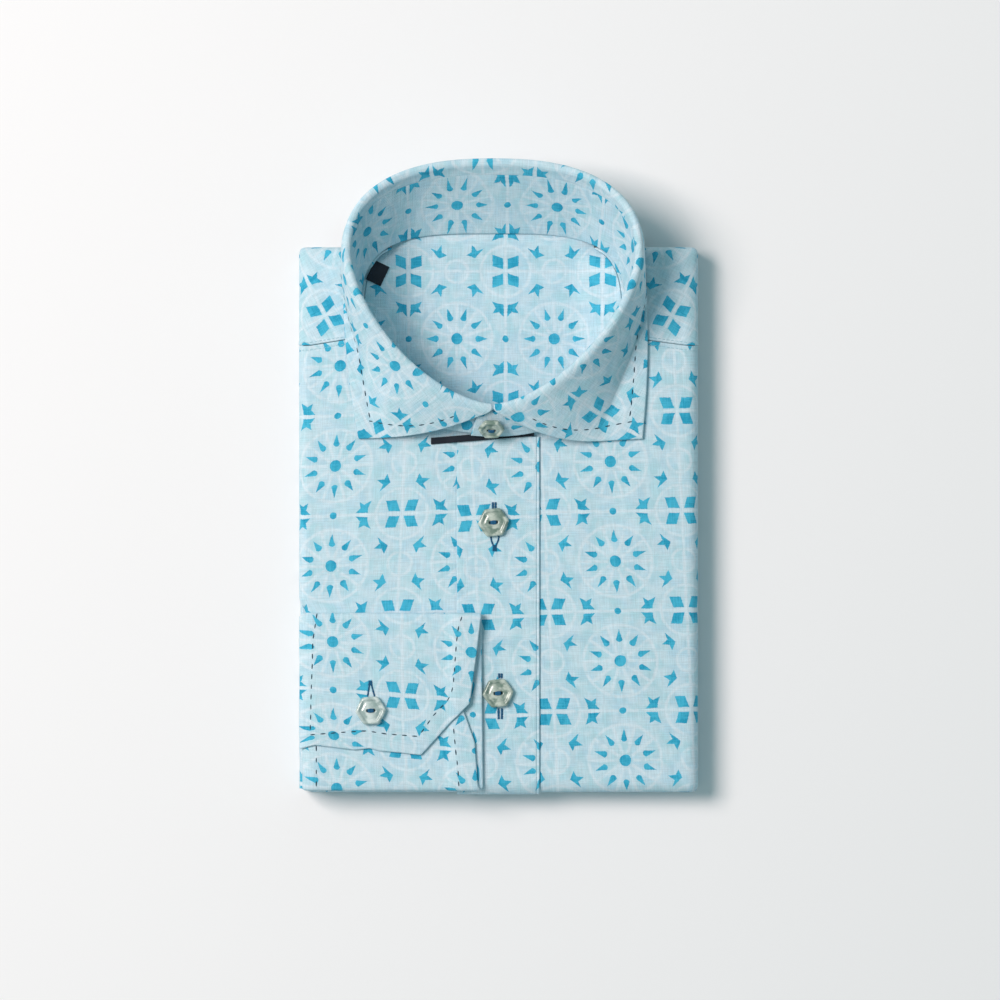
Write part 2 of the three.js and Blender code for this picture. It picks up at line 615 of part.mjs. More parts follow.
// A six-sided shell button with rounded corners and two holes.
function buttonGeometry(across) {
  const { thickness, holeRadius, holeSpacing, cornerRadius, bevel } = buttonSize;
  const radius = across / 2 - bevel;
  const shape = new THREE.Shape();
  for (let k = 0; k < 6; k++) {
    const angle = (k * Math.PI) / 3;
    const place = (turn) => [radius * Math.cos(angle + turn), radius * Math.sin(angle + turn)];
    const cornerTurn = cornerRadius / across;
    const inset = 0.94;
    const before = place(-cornerTurn).map((v) => v * inset);
    const after = place(cornerTurn).map((v) => v * inset);
    if (k === 0) shape.moveTo(...before);
    else shape.lineTo(...before);
    shape.quadraticCurveTo(...place(0), ...after);
  }
  shape.closePath();
  for (const x of [-holeSpacing / 2, holeSpacing / 2]) {
    const hole = new THREE.Path();
    hole.absarc(x, 0, holeRadius, 0, Math.PI * 2, true);
    shape.holes.push(hole);
  }
  return new THREE.ExtrudeGeometry(shape, {
    depth: thickness - 2 * bevel, bevelThickness: bevel, bevelSize: bevel, bevelOffset: 0,
    bevelSegments: 1, curveSegments: 3,
  }).translate(0, 0, bevel);
}

// The size label lies on the inner yoke, by the band's left side.
function sizeLabel() {
  const size = { width: 7.8, height: 10.2, thickness: 0.8 };
  const place = { x: -56.6, y: -13.4, turn: radians(-25) };
  const c = Math.cos(place.turn);
  const s = Math.sin(place.turn);
  const grid = (h) => evenly(-0.5, 0.5, 4).map((u) => evenly(-0.5, 0.5, 4).map((v) => {
    const x = place.x + u * size.width * c - v * size.height * s;
    const y = place.y + u * size.width * s + v * size.height * c;
    return new THREE.Vector3(x, y, innerYokeHeight(x, y) + inner.wall + h);
  }));
  return wallBetween(grid(cloth.gap + size.thickness), grid(cloth.gap));
}

// A geometry as a solid for joining and cutting, and back again.
function solidOf(geometry) {
  const bare = geometry.index ? geometry.toNonIndexed() : geometry.clone();
  bare.deleteAttribute('normal');
  bare.deleteAttribute('uv');
  const merged = mergeVertices(bare, 1e-4);
  return new wasm.Manifold(new wasm.Mesh({
    numProp: 3,
    vertProperties: merged.attributes.position.array,
    triVerts: new Uint32Array(merged.index.array),
  }));
}

function geometryOf(solid) {
  const mesh = solid.getMesh();
  const geometry = new THREE.BufferGeometry();
  geometry.setAttribute('position', new THREE.BufferAttribute(mesh.vertProperties, 3));
  geometry.setIndex(new THREE.BufferAttribute(mesh.triVerts, 1));
  geometry.computeVertexNormals();
  return geometry;
}

const printedLinen = { color: 0xb9dbe3, roughness: 0.9, metalness: 0 };
const navyTape = { color: 0x17222c, roughness: 0.85, metalness: 0 };
const greyShell = { color: 0xa3b0a2, roughness: 0.25, metalness: 0 };

const shirt = new THREE.Group();

function addPiece(name, geometry, finish) {
  const mesh = new THREE.Mesh(geometry, new THREE.MeshStandardMaterial(finish));
  mesh.name = name;
  shirt.add(mesh);
  return mesh;
}

addPiece('folded_layers', foldedLayers(), printedLinen);
addPiece('front_right', frontPanel(-1, frontEdges.rightUnderlap), printedLinen);
addPiece('front_left', frontPanel(1, frontEdges.leftEdge), printedLinen);
addPiece('yoke_shoulder_right', yokeShoulder(-1), printedLinen);
addPiece('yoke_shoulder_left', yokeShoulder(1), printedLinen);
addPiece('inner_yoke', innerYoke(), printedLinen);
addPiece('placket', placket(), printedLinen);
addPiece('collar_band', collarBand(), printedLinen);
addPiece('collar_fall', collarFall(), printedLinen);
addPiece('neck_tape', neckTape(), navyTape);
addPiece('cuff', cuff(), printedLinen);
addPiece('sleeve', sleeve(), printedLinen);
addPiece('size_label', sizeLabel(), navyTape);

// Buttons that lie on the placket and on the cuff.
const placketButtons = [
  { name: 'button_front_upper', x: -2.2, y: -131, turn: 8 },
  { name: 'button_front_lower', x: -0.2, y: -214.1, turn: 6 },
];
for (const { name, x, y, turn } of placketButtons) {
  const button = addPiece(name, buttonGeometry(buttonAcross.front), greyShell);
  const z = topHeight(x, y) + placketSize.rise + cloth.interlined + cloth.gap + 0.1;
  button.position.set(x, y, z);
  button.rotation.z = radians(turn);
}
const cuffButton = addPiece('button_cuff', buttonGeometry(buttonAcross.cuff), greyShell);
cuffButton.position.set(-61.2, -222.3, topHeight(-61.2, -222.3) + cuffSize.flapHeight + cuffSize.wall / 2 + 0.5);
cuffButton.rotation.z = radians(4);

// The collar's button stands on the outer face of the band, which leans back from the front.
const neckButton = addPiece('button_collar', buttonGeometry(buttonAcross.collar), greyShell);
const bandLow = standPoint(-90, 0.1);
const bandHigh = standPoint(-90, 0.6);
const bandSlope = Math.atan2(bandHigh.z - bandLow.z, bandHigh.y - bandLow.y);
const bandOut = new THREE.Vector3(0, -Math.sin(bandSlope), Math.cos(bandSlope));
const buttonSeat = bandTab.lapOut + cloth.interlined / 2 + collarButton.lift;
neckButton.position.copy(standPoint(-90, collarButton.share)).addScaledVector(bandOut, buttonSeat);
neckButton.position.x = collarButton.x;
neckButton.rotation.x = bandSlope + collarButton.lean;

// The row's origin is the middle of the footprint, on the surface that the shirt lies on.
shirt.updateMatrixWorld(true);
const box = new THREE.Box3().setFromObject(shirt, true);
shirt.position.set(-(box.min.x + box.max.x) / 2, -(box.min.y + box.max.y) / 2, -box.min.z);

export default shirt;
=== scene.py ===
"""A folded long-sleeved dress shirt in printed linen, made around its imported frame."""
import math
from typing import NamedTuple

import bmesh
import bpy
import numpy as np
from bpy.props import FloatProperty, FloatVectorProperty, PointerProperty
from mathutils import Matrix, Vector
from mathutils.bvhtree import BVHTree


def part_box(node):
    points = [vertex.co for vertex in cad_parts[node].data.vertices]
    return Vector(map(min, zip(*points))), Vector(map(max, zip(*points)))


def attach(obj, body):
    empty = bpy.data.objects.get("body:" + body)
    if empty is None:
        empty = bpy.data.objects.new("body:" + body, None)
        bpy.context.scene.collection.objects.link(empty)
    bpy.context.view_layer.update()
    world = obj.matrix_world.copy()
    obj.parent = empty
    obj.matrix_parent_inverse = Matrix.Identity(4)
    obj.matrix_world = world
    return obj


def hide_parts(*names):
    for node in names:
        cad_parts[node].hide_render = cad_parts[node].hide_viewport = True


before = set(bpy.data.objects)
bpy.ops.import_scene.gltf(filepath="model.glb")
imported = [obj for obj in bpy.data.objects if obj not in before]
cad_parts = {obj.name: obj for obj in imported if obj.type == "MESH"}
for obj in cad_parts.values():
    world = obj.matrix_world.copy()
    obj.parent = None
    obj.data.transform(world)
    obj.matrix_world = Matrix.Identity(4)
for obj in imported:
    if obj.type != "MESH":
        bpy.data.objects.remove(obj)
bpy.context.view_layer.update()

bl_info = {
    "name": "Folded linen shirt",
    "version": (1, 0, 0),
    "blender": (4, 5, 0),
    "location": "View3D > Sidebar > Shirt",
    "description": "Makes the cloth, collar, cuff, buttons and stitching of a folded dress shirt",
    "category": "Add Mesh",
}

# All shapes are worked out in millimetres, with Y = 0 at the shoulder fold and the hem at negative Y.
MM = 0.001
FRONT_LOW, FRONT_HIGH = (np.array(corner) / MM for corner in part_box("front_left"))
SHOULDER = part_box("yoke_shoulder_left")[1][1] / MM
HALF_WIDTH = FRONT_HIGH[0]
PACKET_LENGTH = SHOULDER - FRONT_LOW[1]
SKIRT_END = FRONT_LOW[2]

# The packet that the shirt is folded to.
THICKNESS = 20.0
EDGE_RADIUS = 5.0
CROWN = 1.5
FLAT_X = HALF_WIDTH - EDGE_RADIUS
FLAT_TOP = -EDGE_RADIUS
FLAT_FOOT = EDGE_RADIUS - PACKET_LENGTH
QUARTER_TURN = math.pi / 2 * EDGE_RADIUS
SKIRT_LENGTH = QUARTER_TURN + THICKNESS - EDGE_RADIUS - SKIRT_END
CORNER_POWER = 4.0

WALL = 1.2
INTERLINED = 1.4
GAP = 0.3
FINE_STEP = 1.5

SEAM_AT_NECK = -43.2
SEAM_AT_SIDE = -47.5
PLACKET_LEFT, PLACKET_RIGHT, PLACKET_TOP, PLACKET_RISE = -19.9, 19.7, -91.0, 0.3
RIGHT_UNDERLAP = 14.0
LEFT_EDGE = 17.0

# The collar, on an oval neck seam and folded over along a wider, higher oval.
COLLAR_X = -2.6
BAND_SHARE = 0.858
FALL_SHARE = 0.842
ROLL_WIDTH = 2.6
ROLL_DROP = 1.6
TAB_DEGREES = 8.0
LAP_OUT = 0.45
LAP_IN = 1.3

# The cuff's loop and the sleeve behind it.
CUFF_FOLD, CUFF_END, MITRE_START, CUFF_FOOT, UNDERLAP_END = -176.2, -242.4, -218.9, -260.2, -205.0
FLAP_HEIGHT, LOWER_HEIGHT, UNDERLAP_HEIGHT = 4.8, 1.2, 3.0
SLEEVE_WALL = 2.8
SLEEVE_TOP, SLEEVE_FOOT, TUCK_X = -177.5, -260.0, -90.6
SLEEVE_ARC_X = GAP + SLEEVE_WALL - FLAT_X
CUFF_SEAM = SLEEVE_ARC_X - 0.88 * (EDGE_RADIUS + SLEEVE_WALL / 2)
PRESS_FROM, PRESS_TO = -168.0, -176.0

# The weave's thread, the tape's ribs, the turns of sewing thread, and the print's repeat.
THREAD_PITCH = 0.5
TWILL_PITCH = 0.7
TWIST_PITCH = 0.35
REPEAT_ACROSS = 65.3
REPEAT_DOWN = 48.0


class Oval(NamedTuple):
    half_width: float
    middle: float
    back: float
    front: float
    back_power: float
    front_power: float


class Leaf(NamedTuple):
    side: float
    point: float
    bow: float
    front_edge: float
    flat: float
    flat_from: float
    flat_to: float
    bulge_at: float
    bulge_fall: float


class Crease(NamedTuple):
    x: float
    y: float
    turn: float
    length: float
    width: float
    height: float


class Lay(NamedTuple):
    """How the print lies on a piece: a rosette's place, and the directions of both repeats."""

    origin: tuple
    across: tuple
    down: tuple

    def coordinates(self, points):
        repeats = np.array([self.across, self.down]).T / np.array([REPEAT_ACROSS, REPEAT_DOWN])
        return (points - np.array(self.origin)) @ np.linalg.inv(repeats).T


NECK_OVAL = Oval(64, -38, 44.7, 52.5, 3.5, 2.2)
FOLD_OVAL = Oval(70, -1.9, 43, 74.4, 2.38, 1.6)
NECK_CUT = NECK_OVAL._replace(half_width=62, front=50.5)
LEFT_LEAF = Leaf(71.8, 64.6, 1.4, -90.6, 8.0, 0.1, 0.6, 0.62, 0.4)
RIGHT_LEAF = Leaf(71.6, 71.8, 2.6, -94.5, 20.0, 0.2, 1.0, 0.5, 0.46)
LEAF_REACH, LEAF_RISE, CREASE_LIFT, HEM_PART = 26.0, 1.4, 0.2, 1.5
FOLD_BACK_HEIGHT, FOLD_FRONT_HEIGHT, FOLD_SIDE_HEIGHT = 38.0, 39.5, 50.0
LEAF_SIDE_Y, LEAF_FRONT_Y, LEAF_BACK_DEPTH, LEAF_BACK_HEIGHT = -4, -92.2, 16, 3.2

# Creases pressed into the body: place, direction in degrees, length, width and height.
CREASES = [
    Crease(-62, -134, 80, 24, 8, 0.5),
    Crease(-40, -112, -25, 22, 8, 0.4),
    Crease(55, -118, 74, 36, 9, -0.4),
    Crease(62, -190, 98, 42, 10, 0.5),
    Crease(40, -228, 14, 24, 9, -0.4),
    Crease(-78, -96, 62, 13, 4.5, 0.28),
    Crease(-50, -150, 12, 16, 5, -0.25),
    Crease(-34, -142, 100, 20, 5, 0.25),
    Crease(-84, -150, 92, 15, 4, 0.22),
    Crease(78, -94, 118, 15, 5, 0.3),
    Crease(38, -140, 84, 18, 5, 0.24),
    Crease(76, -148, 20, 12, 4.5, -0.25),
    Crease(33, -178, 96, 24, 5.5, 0.24),
    Crease(52, -212, 38, 14, 5, 0.28),
    Crease(82, -232, 80, 18, 5, -0.25),
    Crease(30, -246, 8, 14, 5, 0.2),
    Crease(84, -30, 60, 14, 5, 0.35),
    Crease(-86, -26, 112, 13, 5, 0.3),
    Crease(-76, -10, 6, 16, 4, 0.35),
    Crease(78, -10, -8, 16, 4.5, 0.35),
]

FRONT_RIGHT_LAY = Lay((-78.2, -105.1), (65.8, 2.4), (-2.2, -48.0))
FRONT_LEFT_LAY = Lay((53.7, -103.0), (66.0, 1.0), (2.4, -47.8))
PLACKET_LAY = Lay((20.4, -105.6), (66.0, 1.6), (2.0, -47.5))
CUFF_LAY = Lay((-79.4, -189.4), (66.4, -5.0), (0.4, -46.3))
UNDERLAP_LAY = CUFF_LAY._replace(origin=(-77.5, -259.2))
INNER_LAY = Lay((26.8, -43.9), (0.0, 65.0), (46.8, 0.0))
RIGHT_SHOULDER_LAY = Lay((-46.6, -50.7), (-30.4, 57.8), (42.5, 22.4))
LEFT_SHOULDER_LAY = Lay((46.6, -50.7), (30.4, 57.8), (-42.5, 22.4))


def smooth(x):
    x = np.clip(x, 0.0, 1.0)
    return x * x * (3 - 2 * x)


def mix(a, b, share):
    return a + (b - a) * share


def points_of(*columns):
    return np.stack(np.broadcast_arrays(*[np.asarray(column, float) for column in columns]), axis=-1)


def length_of(vectors):
    return np.linalg.norm(vectors, axis=-1)


def unit(vectors):
    return vectors / np.maximum(length_of(vectors), 1e-9)[..., None]


def run_along(points):
    """The way along a path from its first point to each of its points."""
    return np.concatenate([[0], np.cumsum(length_of(np.diff(points, axis=0)))])


def ridge(offset, width):
    """A soft ridge on a line: 1 at no offset, and falling away to both sides."""
    return np.exp(-((offset / width) ** 2))


def crease_height(x, y):
    height = 0.0
    for crease in CREASES:
        c = math.cos(math.radians(crease.turn))
        s = math.sin(math.radians(crease.turn))
        along = ((x - crease.x) * c + (y - crease.y) * s) / crease.length
        across = ((y - crease.y) * c - (x - crease.x) * s) / crease.width
        height = height + crease.height * np.exp(-along * along - across * across)
    return height


def rumple(x, y, seed, longest=34.0, shortest=9.0, waves=14):
    """Small uneven waves in cloth, from about -1 to 1."""
    random = np.random.default_rng(seed)
    total = 0.0
    for wave in range(waves):
        length = mix(longest, shortest, wave / (waves - 1))
        direction = random.uniform(0, math.pi)
        phase = random.uniform(0, 2 * math.pi)
        along = x * math.cos(direction) + y * math.sin(direction)
        total = total + length / longest * np.sin(2 * math.pi * along / length + phase)
    return total / math.sqrt(waves)


def relief(x, y):
    """How far the packet's top stands over its edge height: a low crown, creases and small waves."""
    across = np.minimum(1, np.abs(x) / HALF_WIDTH)
    along = np.minimum(1, np.abs(y + PACKET_LENGTH / 2) / (PACKET_LENGTH / 2))
    crown = CROWN * (1 - across**4) * (1 - along**4)
    fade = (1 - across**8) * (1 - along**8)
    return crown + (crease_height(x, y) + 0.12 * rumple(x, y, 3)) * fade


def top_height(x, y):
    return THICKNESS + relief(x, y)


def sleeve_press(x, y, z):
    """The wrapped sleeve presses the upper layers' left edge in by its own thickness."""
    side_share = smooth((-x - 50) / (FLAT_X - 50))
    down_share = smooth((PRESS_FROM - y) / (PRESS_FROM - PRESS_TO))
    pressed = (SLEEVE_ARC_X + FLAT_X) * side_share * down_share
    return np.where((x < 0) & (z > SKIRT_END - 2.5), pressed, 0.0)


def settle(x, y, z):
    return points_of(x + sleeve_press(x, y, z), y, z * (1 + relief(x, y) / THICKNESS))


def on_packet(a, b, h):
    """The place of cloth at flat coordinates (a, b), h above the packet's skin."""
    over_x = np.sign(a) * np.maximum(0, np.abs(a) - FLAT_X)
    over_y = np.where(b > FLAT_TOP, b - FLAT_TOP, np.minimum(0, b - FLAT_FOOT))
    over = np.maximum(np.abs(over_x), np.abs(over_y))
    reach = (np.abs(over_x) ** CORNER_POWER + np.abs(over_y) ** CORNER_POWER) ** (1 / CORNER_POWER)
    reach = np.where(reach == 0, 1, reach)
    turn = np.minimum(over, QUARTER_TURN) / EDGE_RADIUS
    out = (EDGE_RADIUS + h) * np.sin(turn)
    z = THICKNESS - EDGE_RADIUS + (EDGE_RADIUS + h) * np.cos(turn) - np.maximum(0, over - QUARTER_TURN)
    return settle(a - over_x + out * over_x / reach, b - over_y + out * over_y / reach, z)


def stations(start, end, step=FINE_STEP, rim=WALL / 2, lines=()):
    """Places from start to end, close together at both ends for a round rim, and beside each seam line."""
    way = 1.0 if end > start else -1.0
    near = np.array([0, 0.07, 0.28, 0.6]) * rim
    steps = max(2, round((abs(end - start) - 2 * rim) / step))
    places = list(np.linspace(start + way * rim, end - way * rim, steps + 1))
    for line in lines:
        beside = [line + offset for offset in (-1.0, -0.55, -0.25, 0.0, 0.25, 0.55, 1.0)]
        places = [place for place in places if abs(place - line) > 1.3] + beside
    places = sorted(places, reverse=way < 0)
    return np.array([*(start + way * near), *places, *(end - way * near[::-1])])


def oval_half_width(oval, y):
    back = y > oval.middle
    share = np.minimum(1, np.abs(y - oval.middle) / np.where(back, oval.back, oval.front))
    power = np.where(back, oval.back_power, oval.front_power)
    return oval.half_width * (1 - share**power) ** (1 / power)


def oval_front_y(oval, x):
    share = np.minimum(1, np.abs(x) / oval.half_width)
    return oval.middle - oval.front * (1 - share**oval.front_power) ** (1 / oval.front_power)


def oval_point(oval, degrees):
    """A point of an oval at an angle: 0 is the viewer's right, 90 the back of the neck."""
    c = np.cos(np.radians(degrees))
    s = np.sin(np.radians(degrees))
    power = 2 / np.where(s > 0, oval.back_power, oval.front_power)
    x = oval.half_width * np.sign(c) * np.abs(c) ** power
    y = oval.middle + np.where(s > 0, oval.back, -oval.front) * np.abs(s) ** power
    return x + COLLAR_X, y


SEAM_NECK_X = float(oval_half_width(NECK_CUT, SEAM_AT_NECK))


def yoke_seam_y(a):
    side = np.sign(a - COLLAR_X)
    from_centre = side * COLLAR_X + SEAM_NECK_X
    share = (side * a - from_centre) / (FLAT_X - from_centre)
    return mix(SEAM_AT_NECK, SEAM_AT_SIDE, np.clip(share, 0, 1))


def front_top_y(a):
    from_neck = np.abs(a - COLLAR_X)
    inside = np.minimum(SEAM_AT_NECK, oval_front_y(NECK_CUT, from_neck))
    return np.where(from_neck < SEAM_NECK_X, inside, yoke_seam_y(a))


# Meshes and closed walls of cloth.


def mesh_object(name, points, faces, uv=None, smooth_faces=True, origin=SHOULDER):
    """A new object in metres in the frame's own place, from points in millimetres."""
    mesh = bpy.data.meshes.new(name)
    moved = (np.asarray(points, float).reshape(-1, 3) + (0, origin, 0)) * MM
    mesh.from_pydata(moved.tolist(), [], [tuple(face) for face in faces])
    if uv is not None:
        layer = mesh.uv_layers.new(name="Print")
        corners = np.zeros(len(mesh.loops), np.int32)
        mesh.loops.foreach_get("vertex_index", corners)
        layer.data.foreach_set("uv", np.asarray(uv, float).reshape(-1, 2)[corners].ravel())
    mesh.polygons.foreach_set("use_smooth", [smooth_faces] * len(mesh.polygons))
    mesh.update()
    piece = bpy.data.objects.new(name, mesh)
    bpy.context.scene.collection.objects.link(piece)
    return piece


def finish(piece, material, node=None):
    """Gives a piece its material, and lets it ride on the shirt and stand for a plain solid."""
    piece.data.materials.clear()
    piece.data.materials.append(material)
    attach(piece, "root")
    if node:
        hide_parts(node)


def evaluated_mesh(piece):
    graph = bpy.context.evaluated_depsgraph_get()
    return bpy.data.meshes.new_from_object(piece.evaluated_get(graph), depsgraph=graph)


def cut_out(piece, tool):
    """Takes the shape of a closed tool out of a piece."""
    cut = piece.modifiers.new("Cut", "BOOLEAN")
    cut.operation = "DIFFERENCE"
    cut.object = tool
    cut.solver = "EXACT"
    mesh = evaluated_mesh(piece)
    piece.modifiers.clear()
    piece.data = mesh
    bpy.data.objects.remove(tool)


def face_outwards(piece):
    shape = bmesh.new()
    shape.from_mesh(piece.data)
    bmesh.ops.recalc_face_normals(shape, faces=shape.faces)
    shape.to_mesh(piece.data)
    shape.free()


def ring_faces(rings, around):
    """Faces between rings of points, one above another, and a cap on the first and on the last."""
    faces = []
    for first in range(0, (rings - 1) * around, around):
        for k in range(around):
            after = (k + 1) % around
            faces.append((first + k, first + after, first + around + after, first + around + k))
    faces.append(tuple(range(around - 1, -1, -1)))
    faces.append(tuple(range((rings - 1) * around, rings * around)))
    return faces


def prism(outline, low, high):
    """Points and faces of an upright prism on an outline of (x, y) points."""
    points = [(x, y, z) for z in (low, high) for x, y in outline]
    return points, ring_faces(2, len(outline))


def grid_normals(grid):
    along = np.gradient(grid, axis=0)
    across = np.gradient(grid, axis=1)
    return unit(np.cross(along, across))


def edge_distances(grid):
    """How far each point of a grid is from the grid's four edges, measured along the cloth."""
    down = length_of(np.diff(grid, axis=0))
    right = length_of(np.diff(grid, axis=1))
    from_first = np.vstack([np.zeros((1, grid.shape[1])), np.cumsum(down, axis=0)])
    from_left = np.hstack([np.zeros((grid.shape[0], 1)), np.cumsum(right, axis=1)])
    return from_first, from_first[-1:] - from_first, from_left, from_left[:, -1:] - from_left


def grid_faces(number):
    """Four-sided faces of a grid, from the numbers of its points."""
    quads = np.stack([number[:-1, :-1], number[1:, :-1], number[1:, 1:], number[:-1, 1:]], axis=-1)
    return quads.reshape(-1, 4)


class Cloth:
    """A wall of cloth round a middle surface, with round rims along its edges."""

    def __init__(self, name, middle, uv, wall, material=None, slot="printed_linen"):
        self.middle = middle
        self.normals = grid_normals(middle)
        self.distances = edge_distances(middle)
        rows, columns = middle.shape[:2]
        half = wall / 2
        rim = np.clip(np.min(self.distances, axis=0) / half, 0, 1)
        thick = half * np.sqrt(1 - (1 - rim) ** 2)
        self.outer = middle + self.normals * thick[..., None]
        inner = middle - self.normals * thick[..., None]
        number = np.arange(rows * columns).reshape(rows, columns)
        outer_faces = grid_faces(number)
        inside = (rows - 2) * (columns - 2)
        number[1:-1, 1:-1] = rows * columns + np.arange(inside).reshape(rows - 2, columns - 2)
        inner_faces = number.ravel()[outer_faces][:, ::-1]
        points = np.vstack([self.outer.reshape(-1, 3), inner[1:-1, 1:-1].reshape(-1, 3)])
        uv_all = np.vstack([uv.reshape(-1, 2), uv[1:-1, 1:-1].reshape(-1, 2)])
        self.piece = mesh_object(name, points, np.vstack([outer_faces, inner_faces]), uv_all)
        finish(self.piece, material or linen())

    def declare(self, rests_on, held="folded", with_pieces=()):
        """Works out how large the piece was cut, its widest and longest runs and its own area, and keeps none
        of them.
        """
        first, _, left, _ = self.distances
        width = first[-1].max() * MM
        length = left[:, -1].max() * MM
        along = np.diff(self.middle, axis=0)[:, :-1]
        across = np.diff(self.middle, axis=1)[:-1]
        area = min(length_of(np.cross(along, across)).sum() * MM * MM, width * length)

    def inset_line(self, side, inset):
        """Points and normals of the outer face beside an edge: 0 first row, 1 last row, 3 last column."""
        distance = self.distances[side]
        axis = 0 if side < 2 else 1
        reach = np.moveaxis(distance, axis, 0)
        face = np.moveaxis(self.outer, axis, 0)
        slope = np.moveaxis(self.normals, axis, 0)
        line = []
        for k in range(reach.shape[1]):
            order = np.argsort(reach[:, k])
            at = [np.interp(inset, reach[order, k], face[order, k, part]) for part in range(3)]
            tilt = [np.interp(inset, reach[order, k], slope[order, k, part]) for part in range(3)]
            line.append((np.array(at), np.array(tilt)))
        return line


class Field:
    """A number for each point of a surface, as the output of a node."""

    def __init__(self, tree, socket):
        self.tree = tree
        self.socket = socket

    def math(self, operation, *others):
        node = self.tree.nodes.new("ShaderNodeMath")
        node.operation = operation
        for slot, value in zip(node.inputs, (self, *others)):
            if isinstance(value, Field):
                self.tree.links.new(value.socket, slot)
            else:
                slot.default_value = value
        return Field(self.tree, node.outputs[0])

    def __add__(self, other):
        return self.math("ADD", other)

    def __sub__(self, other):
        return self.math("SUBTRACT", other)

    def __mul__(self, other):
        return self.math("MULTIPLY", other)

    def __truediv__(self, other):
        return self.math("DIVIDE", other)

    def __neg__(self):
        return self.math("MULTIPLY", -1.0)

    def __abs__(self):
        return self.math("ABSOLUTE")

    def times_plus(self, factor, offset):
        return self.math("MULTIPLY_ADD", factor, offset)

    def least(self, other):
        return self.math("MINIMUM", other)

    def most(self, other):
        return self.math("MAXIMUM", other)

    def folded(self, repeat):
        """Distance to the nearest multiple of the repeat."""
        return abs(self.math("WRAP", repeat / 2, -repeat / 2))

    def ramp(self, low, high, to_low=0.0, to_high=1.0):
        node = self.tree.nodes.new("ShaderNodeMapRange")
        node.interpolation_type = "SMOOTHSTEP"
        self.tree.links.new(self.socket, node.inputs["Value"])
        node.inputs["From Min"].default_value = low
        node.inputs["From Max"].default_value = high
        node.inputs["To Min"].default_value = to_low
        node.inputs["To Max"].default_value = to_high
        return Field(self.tree, node.outputs["Result"])


def distance_to(x, y, place):
    dx = x - place[0]
    dy = y - place[1]
    return (dx * dx + dy * dy).math("SQRT")


def beside_line(x, y, start, end):
    """Distance from the line through two points, positive on its left."""
    ex, ey = end[0] - start[0], end[1] - start[1]
    size = math.hypot(ex, ey)
    offset = (start[0] * ey - start[1] * ex) / size
    return y.times_plus(ex / size, x.times_plus(-ey / size, offset))


def inside_polygon(x, y, corners):
    """Distance inside a convex polygon."""
    turned = sum(a[0] * b[1] - b[0] * a[1] for a, b in zip(corners, corners[1:] + corners[:1]))
    ring = corners if turned > 0 else corners[::-1]
    inside = None
    for start, end in zip(ring, ring[1:] + ring[:1]):
        side = beside_line(x, y, start, end)
        inside = side if inside is None else inside.least(side)
    return inside


# The print's motifs in one quarter of its repeat, in millimetres from a rosette's middle or from a diamond's.
ROSETTE_DISC = 2.8
PETAL_STEP = math.radians(36)
PETAL_TIP, PETAL_SHOULDER, PETAL_ROUND, PETAL_ROUND_AT = 15.4, (1.63, 10.1), 1.61, 10.66
SMALL_DOT = 1.6
RHOMB_HALF, RHOMB_AWAY, RHOMB_SIDE = 2.64, 3.84, 3.6
RHOMB_SLANT, RHOMB_SLANT_FROM = 0.318, 1.2
RING, SPOKE_START, DIAMOND_RING, STAR_RING = 17.3, 4.5, 12.2, 5.6
NOTCH, SIDE_LOW, SIDE_HIGH = (14.8, 19.1), (16.75, 20.8), (12.9, 20.8)
STAR_LOW_MIDDLE, STAR_SIDE_MIDDLE = (15.3, 21.2), (8.1, 9.0)
STAR_LOW = [
    [(12.2, 17.6), NOTCH, STAR_LOW_MIDDLE, SIDE_HIGH],
    [(18.1, 17.3), SIDE_LOW, STAR_LOW_MIDDLE, NOTCH],
    [(10.7, 23.2), SIDE_HIGH, STAR_LOW_MIDDLE, (16.5, 23.0)],
    [NOTCH, SIDE_LOW, (16.5, 23.0), SIDE_HIGH],
]
STAR_SIDE = [
    [(12.7, 7.6), (9.9, 9.9), STAR_SIDE_MIDDLE, (9.1, 7.3)],
    [(11.2, 13.2), (7.2, 9.8), STAR_SIDE_MIDDLE, (9.9, 9.9)],
    [(7.7, 4.7), (9.1, 7.3), STAR_SIDE_MIDDLE, (6.05, 8.9)],
    [(9.9, 9.9), (9.1, 7.3), (6.05, 8.9), (7.2, 9.8)],
]


